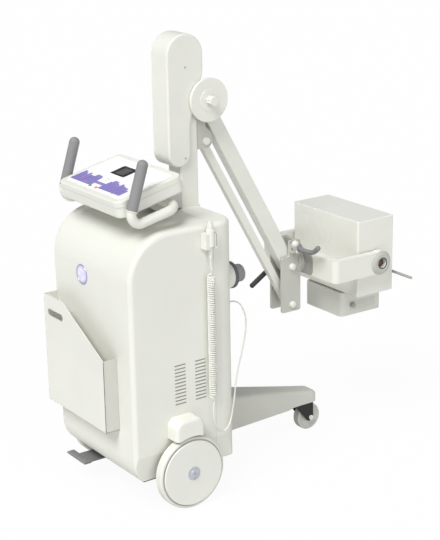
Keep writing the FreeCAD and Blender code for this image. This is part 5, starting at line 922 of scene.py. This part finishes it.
bin_bm = bmesh.new()
half_sheet = SHEET_THICK / 2
panels = (
    ([front_outline, hand_slot], facing(spot(0, BIN_FRONT + half_sheet, 0), (0, -1, 0))),
    (blank(0, depth, BIN_FLOOR, BIN_HIGH), on_side(1, BIN_LEFT + half_sheet, BIN_FRONT, 0)),
    (blank(0, depth, BIN_FLOOR, BIN_LOW), on_side(1, BIN_RIGHT - half_sheet, BIN_FRONT, 0)),
    (blank(BIN_LEFT, BIN_RIGHT, 0, depth),
     facing(spot(0, BIN_FRONT, BIN_FLOOR + half_sheet), (0, 0, 1))),
)
for outlines, place in panels:
    panel = blank_sheet(outlines)
    panel.transform(place)
    bin_bm.from_mesh(panel)
    bpy.data.meshes.remove(panel)
# The bin's right side carries painted shade from the sheet finish's zone.
cassette_bin = settle("bin_sheets", bin_bm, "unit", sheet, 30)
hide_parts("cassette_bin")
print("bin panels", len(panels))

# %% Hem of the bin and rim of its hand slot
hem_bm = bmesh.new()
hem_front = [(BIN_RIGHT - 1, BIN_LOW)] + step_arc + [(BIN_LEFT + 1, BIN_HIGH)]
hem = [spot(BIN_RIGHT - 1, BIN_BACK, BIN_LOW)] + [spot(a, BIN_FRONT + 1, b) for a, b in hem_front]
bead(hem_bm, hem + [spot(BIN_LEFT + 1, BIN_BACK, BIN_HIGH)], 1.5, around=10)
settle("bin_hem", hem_bm, "unit", sheet, 50)
slot_bm = bmesh.new()
slot_place = facing(spot(0, BIN_FRONT, 0), (0, -1, 0))
bead(slot_bm, in_space(hand_slot, 0, slot_place), 0.8, closed=True)
settle("hand_slot_rim", slot_bm, "unit", band_grey, 50)
print("bin trim done")

# %% [markdown]
# ## Latch knob
# The knob on the forward cover is grey with a dark skirt. Shallow ribs round its body give the
# fingers hold. A loop sets them evenly, and a turned cap closes the end.

# %% Ribs and end cap of the knob
KNOB_X, KNOB_Z, KNOB_MIDDLE, KNOB_FACE = 150.0, 720.0, 279.0, 306.3
KNOB_RADIUS, KNOB_RIBS = 30.0, 26
knob_bm = bmesh.new()
for i in range(KNOB_RIBS):
    angle = 2 * math.pi * i / KNOB_RIBS
    outward = Vector((math.cos(angle), 0, math.sin(angle)))
    middle = spot(KNOB_X, KNOB_MIDDLE, KNOB_Z) + outward * (KNOB_RADIUS - 0.3) / 1000
    raised(knob_bm, rounded_box(17, 2.6, 1.2, steps=3), 0, 1.3, facing(middle, outward, (0, 1, 0)), 0.4)
settle("knob_ribs", knob_bm, "latch", knob_body)
turned("knob_cap", [(0, -0.4), (19, -0.4), (19, 0.5), (17.5, 1.1), (15, 0.8), (0, 0.6)],
       facing(spot(KNOB_X, KNOB_FACE, KNOB_Z), (0, 1, 0)), "latch", knob_dark, "knob_grey",
       crease=50)
print("knob done")

# %% [markdown]
# ## Wheels, caster and pedal
# The wheels' flat discs carry a raised ring and a small grey cap with a cross on it. A grey ring on
# the tyre near its rim is painted shadow of the gap beside the disc. The caster has seals beside its wheel,
# and the pedal's bar wears a ribbed rubber pad.

# %% Rings, painted shadow rings on the tyres and cap crosses on the wheels
DISC_FACE, CAP_FACE, TYRE_FACE = 297.0, 303.0, 290.0
for side, body in ((1, "wheel_r"), (-1, "wheel_l")):
    turned("disc_rings_" + body, [(24, -0.4), (24, 1.0), (21, 1.8), (17, 1.2), (16.5, -0.4)],
           on_side(side, DISC_FACE, 0, AXLE_HIGH), body, hub_grey, "wheel_cream", 64, 50)
    cross_bm = bmesh.new()
    for a, b in ((16, 3.2), (3.2, 16)):
        raised(cross_bm, rounded_box(a, b, 1.2, steps=3), -0.2, 0.5,
               on_side(side, CAP_FACE, 0, AXLE_HIGH), 0.2)
    settle("cap_cross_" + body, cross_bm, body, steel)
    # A grey annulus just proud of the tyre: painted shadow of the gap beside the disc.
    turned("tyre_shadow_ring_" + body, [(108, 0.1), (116, 0.1), (116.5, 0.5), (108, 0.9)],
           on_side(side, TYRE_FACE, 0, AXLE_HIGH), body, band_grey, "tyre_grey", 96, 50)
print("wheel trim done")

# %% Caster seals
CASTER_HUB = (17, 700, 50)
for side, way in ((-1, "left"), (1, "right")):
    turned("caster_seal_" + way, [(6, -0.5), (6, 2.2), (9, 2.6), (13, 1.4), (13.4, -0.5)],
           on_side(side, *CASTER_HUB), "caster_roll_body", fork_black, "caster_black", 40, 50)
print("caster seals done")

# %% The pedal's ribbed pad
pad_bm = bmesh.new()
PAD_MIDDLE, PAD_RIBS, PAD_PITCH = (-137.5, -185.5, 78), 19, 6
pad_place = facing(spot(*PAD_MIDDLE), (0, 0, 1))
raised(pad_bm, rounded_box(116, 22, 3), 0, 1.6, pad_place, 0.5)
for i in range(PAD_RIBS):
    middle = (PAD_PITCH * (i - (PAD_RIBS - 1) / 2), 0)
    raised(pad_bm, rounded_box(2.6, 18, 1, steps=2, centre=middle), 1.4, 2.8, pad_place, 0.4)
settle("pedal_pad", pad_bm, "pedal", pad_rubber)
print("pedal pad done")

# %% [markdown]
# ## Column, arm and fork
# Two small screws hold the spring housing's side. The arm's pivot disc has a bare face with a
# stop screw. Domed caps cover the fork's bolts, and the swivel lock has two white ball caps.

# %% Screws
HOUSING_SIDE, HOUSING_SCREWS = 48.0, ((167.7, 1410), (161, 1112))
STOP_SCREW = (61.3, 222, 1299)


def screw(bm, place, head):
    """A pan-head screw."""
    spun(bm, [(0, -0.3), (head, -0.3), (head, 0.6), (head * 0.8, 1.3), (head * 0.35, 1.6), (0, 1.6)],
         place, around=24)


screws_bm = bmesh.new()
for side in (-1, 1):
    for y, z in HOUSING_SCREWS:
        screw(screws_bm, on_side(side, HOUSING_SIDE, y, z), 3.2)
settle("housing_screws", screws_bm, "unit", steel, 50)
stop_bm = bmesh.new()
screw(stop_bm, on_side(1, *STOP_SCREW), 4.0)
settle("disc_screw", stop_bm, "unit", steel, 50)
print("screws done")

# %% Domed caps on the fork's bolts
FORK_Y, FORK_Z, BOLT_PITCH, BOLT_END = 608.8, 651.3, 140.0, 42.0
CAP_RADIUS, CAP_RISE = 12.2, 4.6
caps_bm = bmesh.new()
cap = [(0, -1.5), (CAP_RADIUS, -1.5)] + arc((0, 0), CAP_RADIUS, CAP_RISE, range(0, 90, 10))
cap.append((0, CAP_RISE))
for side, z in ((-1, FORK_Z - BOLT_PITCH), (1, FORK_Z), (1, FORK_Z - BOLT_PITCH)):
    spun(caps_bm, cap, on_side(side, BOLT_END, FORK_Y, z), around=40)
settle("bolt_caps", caps_bm, "fork", pin_cream, 50)
ball_bm = bmesh.new()
for centre, radius in (((50, 611, 738), 13), ((56, 613, 712), 8)):
    ball = [(0, -radius)] + arc((0, 0), radius, radius, range(-80, 81, 10)) + [(0, radius)]
    spun(ball_bm, ball, facing(spot(*centre), (0, 0, 1)), around=40)
settle("swivel_balls", ball_bm, "swivel_handle", wheel_disc, 60)
print("caps and balls done")

# %% [markdown]
# ## Yoke and head
# The yoke's hubs are cones with a hole, and the trunnion of the head turns inside. Its end is
# coloured dark as painted shade in the hole, with a small contact. A bezel and a rim of painted shade at
# the hole's mouth finish the hub's face.
# Behind the yoke a thin grey band is painted shade between the yoke and the fork.

# %% Hub faces, painted shade in the hub holes and the contacts on the trunnions
HUB_FACE, TRUNNION_END, HUB_Y, HUB_Z = 222.0, 206.0, 867.0, 660.0
WELL = ((0, 0.1), (15.5, 0.1), (15.5, 1.2), (12, 1.6), (11, 0.8), (0, 0.8))
BEZEL = ((43.4, -9.0), (43.6, -8.2), (34.6, 0.7), (33.8, 1.0), (24, 1.0), (21, 0.4), (20.5, -0.3))
RIM = ((20.8, -0.2), (20.8, 0.35), (16.2, 0.35), (16.2, -2.5))
CONTACT = ((0, 0.6), (8.5, 0.6), (8.5, 3.2), (7, 4.2), (3, 4.4), (2.4, 3.4), (0, 3.4))
for side, way in ((1, "right"), (-1, "left")):
    end_place = on_side(side, TRUNNION_END, HUB_Y, HUB_Z)
    face_place = on_side(side, HUB_FACE, HUB_Y, HUB_Z)
    # The well and the rim are painted shade inside the hub's hole.
    turned("hub_well_shade_" + way, WELL, end_place, "head", painted_shade_dark, "caster_black")
    turned("hub_bezel_" + way, BEZEL, face_place, "yoke_body", hub_paint, "frame_white", 72, 40)
    turned("hub_shade_rim_" + way, RIM, face_place, "yoke_body", painted_shade_dark, "caster_black", 72, 40)
    turned("hub_contact_" + way, CONTACT, end_place, "head", copper, "steel", 40)
print("hub trim done")

# %% A band of painted shade behind the yoke
YOKE_REAR = 658.3
band_bm = bmesh.new()
band_place = facing(spot(0, YOKE_REAR, HUB_Z), (0, -1, 0))
# A grey plate on the yoke's rear face, standing in for the shade there.
raised(band_bm, rounded_box(178, 78, 16), -0.6, 3.6, band_place, 1.0)
settle("painted_shade_band", band_bm, "yoke_body", band_grey)
print("mount band done")

# %% Collimator panel
panel_bm = bmesh.new()
PANEL_MIDDLE = (104, 877, 478)
panel_place = on_side(1, *PANEL_MIDDLE)
raised(panel_bm, rounded_box(118, 32, 6), -0.4, 1.0, panel_place, 0.5)
settle("field_panel", panel_bm, "collimator", leg_paint)
marks_bm = bmesh.new()
for i in range(5):
    raised(marks_bm, rounded_box(1.2, 6, 0.4, steps=2, centre=(-28 + 12 * i, 4)), 1.0, 1.25, panel_place)
settle("field_marks", marks_bm, "collimator", band_grey)
print("collimator trim done")

# %% Grips: rings at their feet
GRIP_X, GRIP_FOOT_Y, GRIP_FOOT_Z, GRIP_WAY = 210.5, -150.0, 1018.0, (0, 50, 158)
for side, way in ((-1, "left"), (1, "right")):
    turned("grip_ring_" + way, [(16.2, 0.5), (18.8, 0.5), (19.3, 2.0), (18.8, 3.6), (17.2, 4.2)],
           facing(spot(side * GRIP_X, GRIP_FOOT_Y, GRIP_FOOT_Z), GRIP_WAY),
           "unit", enamel, "frame_white", crease=50)
print("grips done")
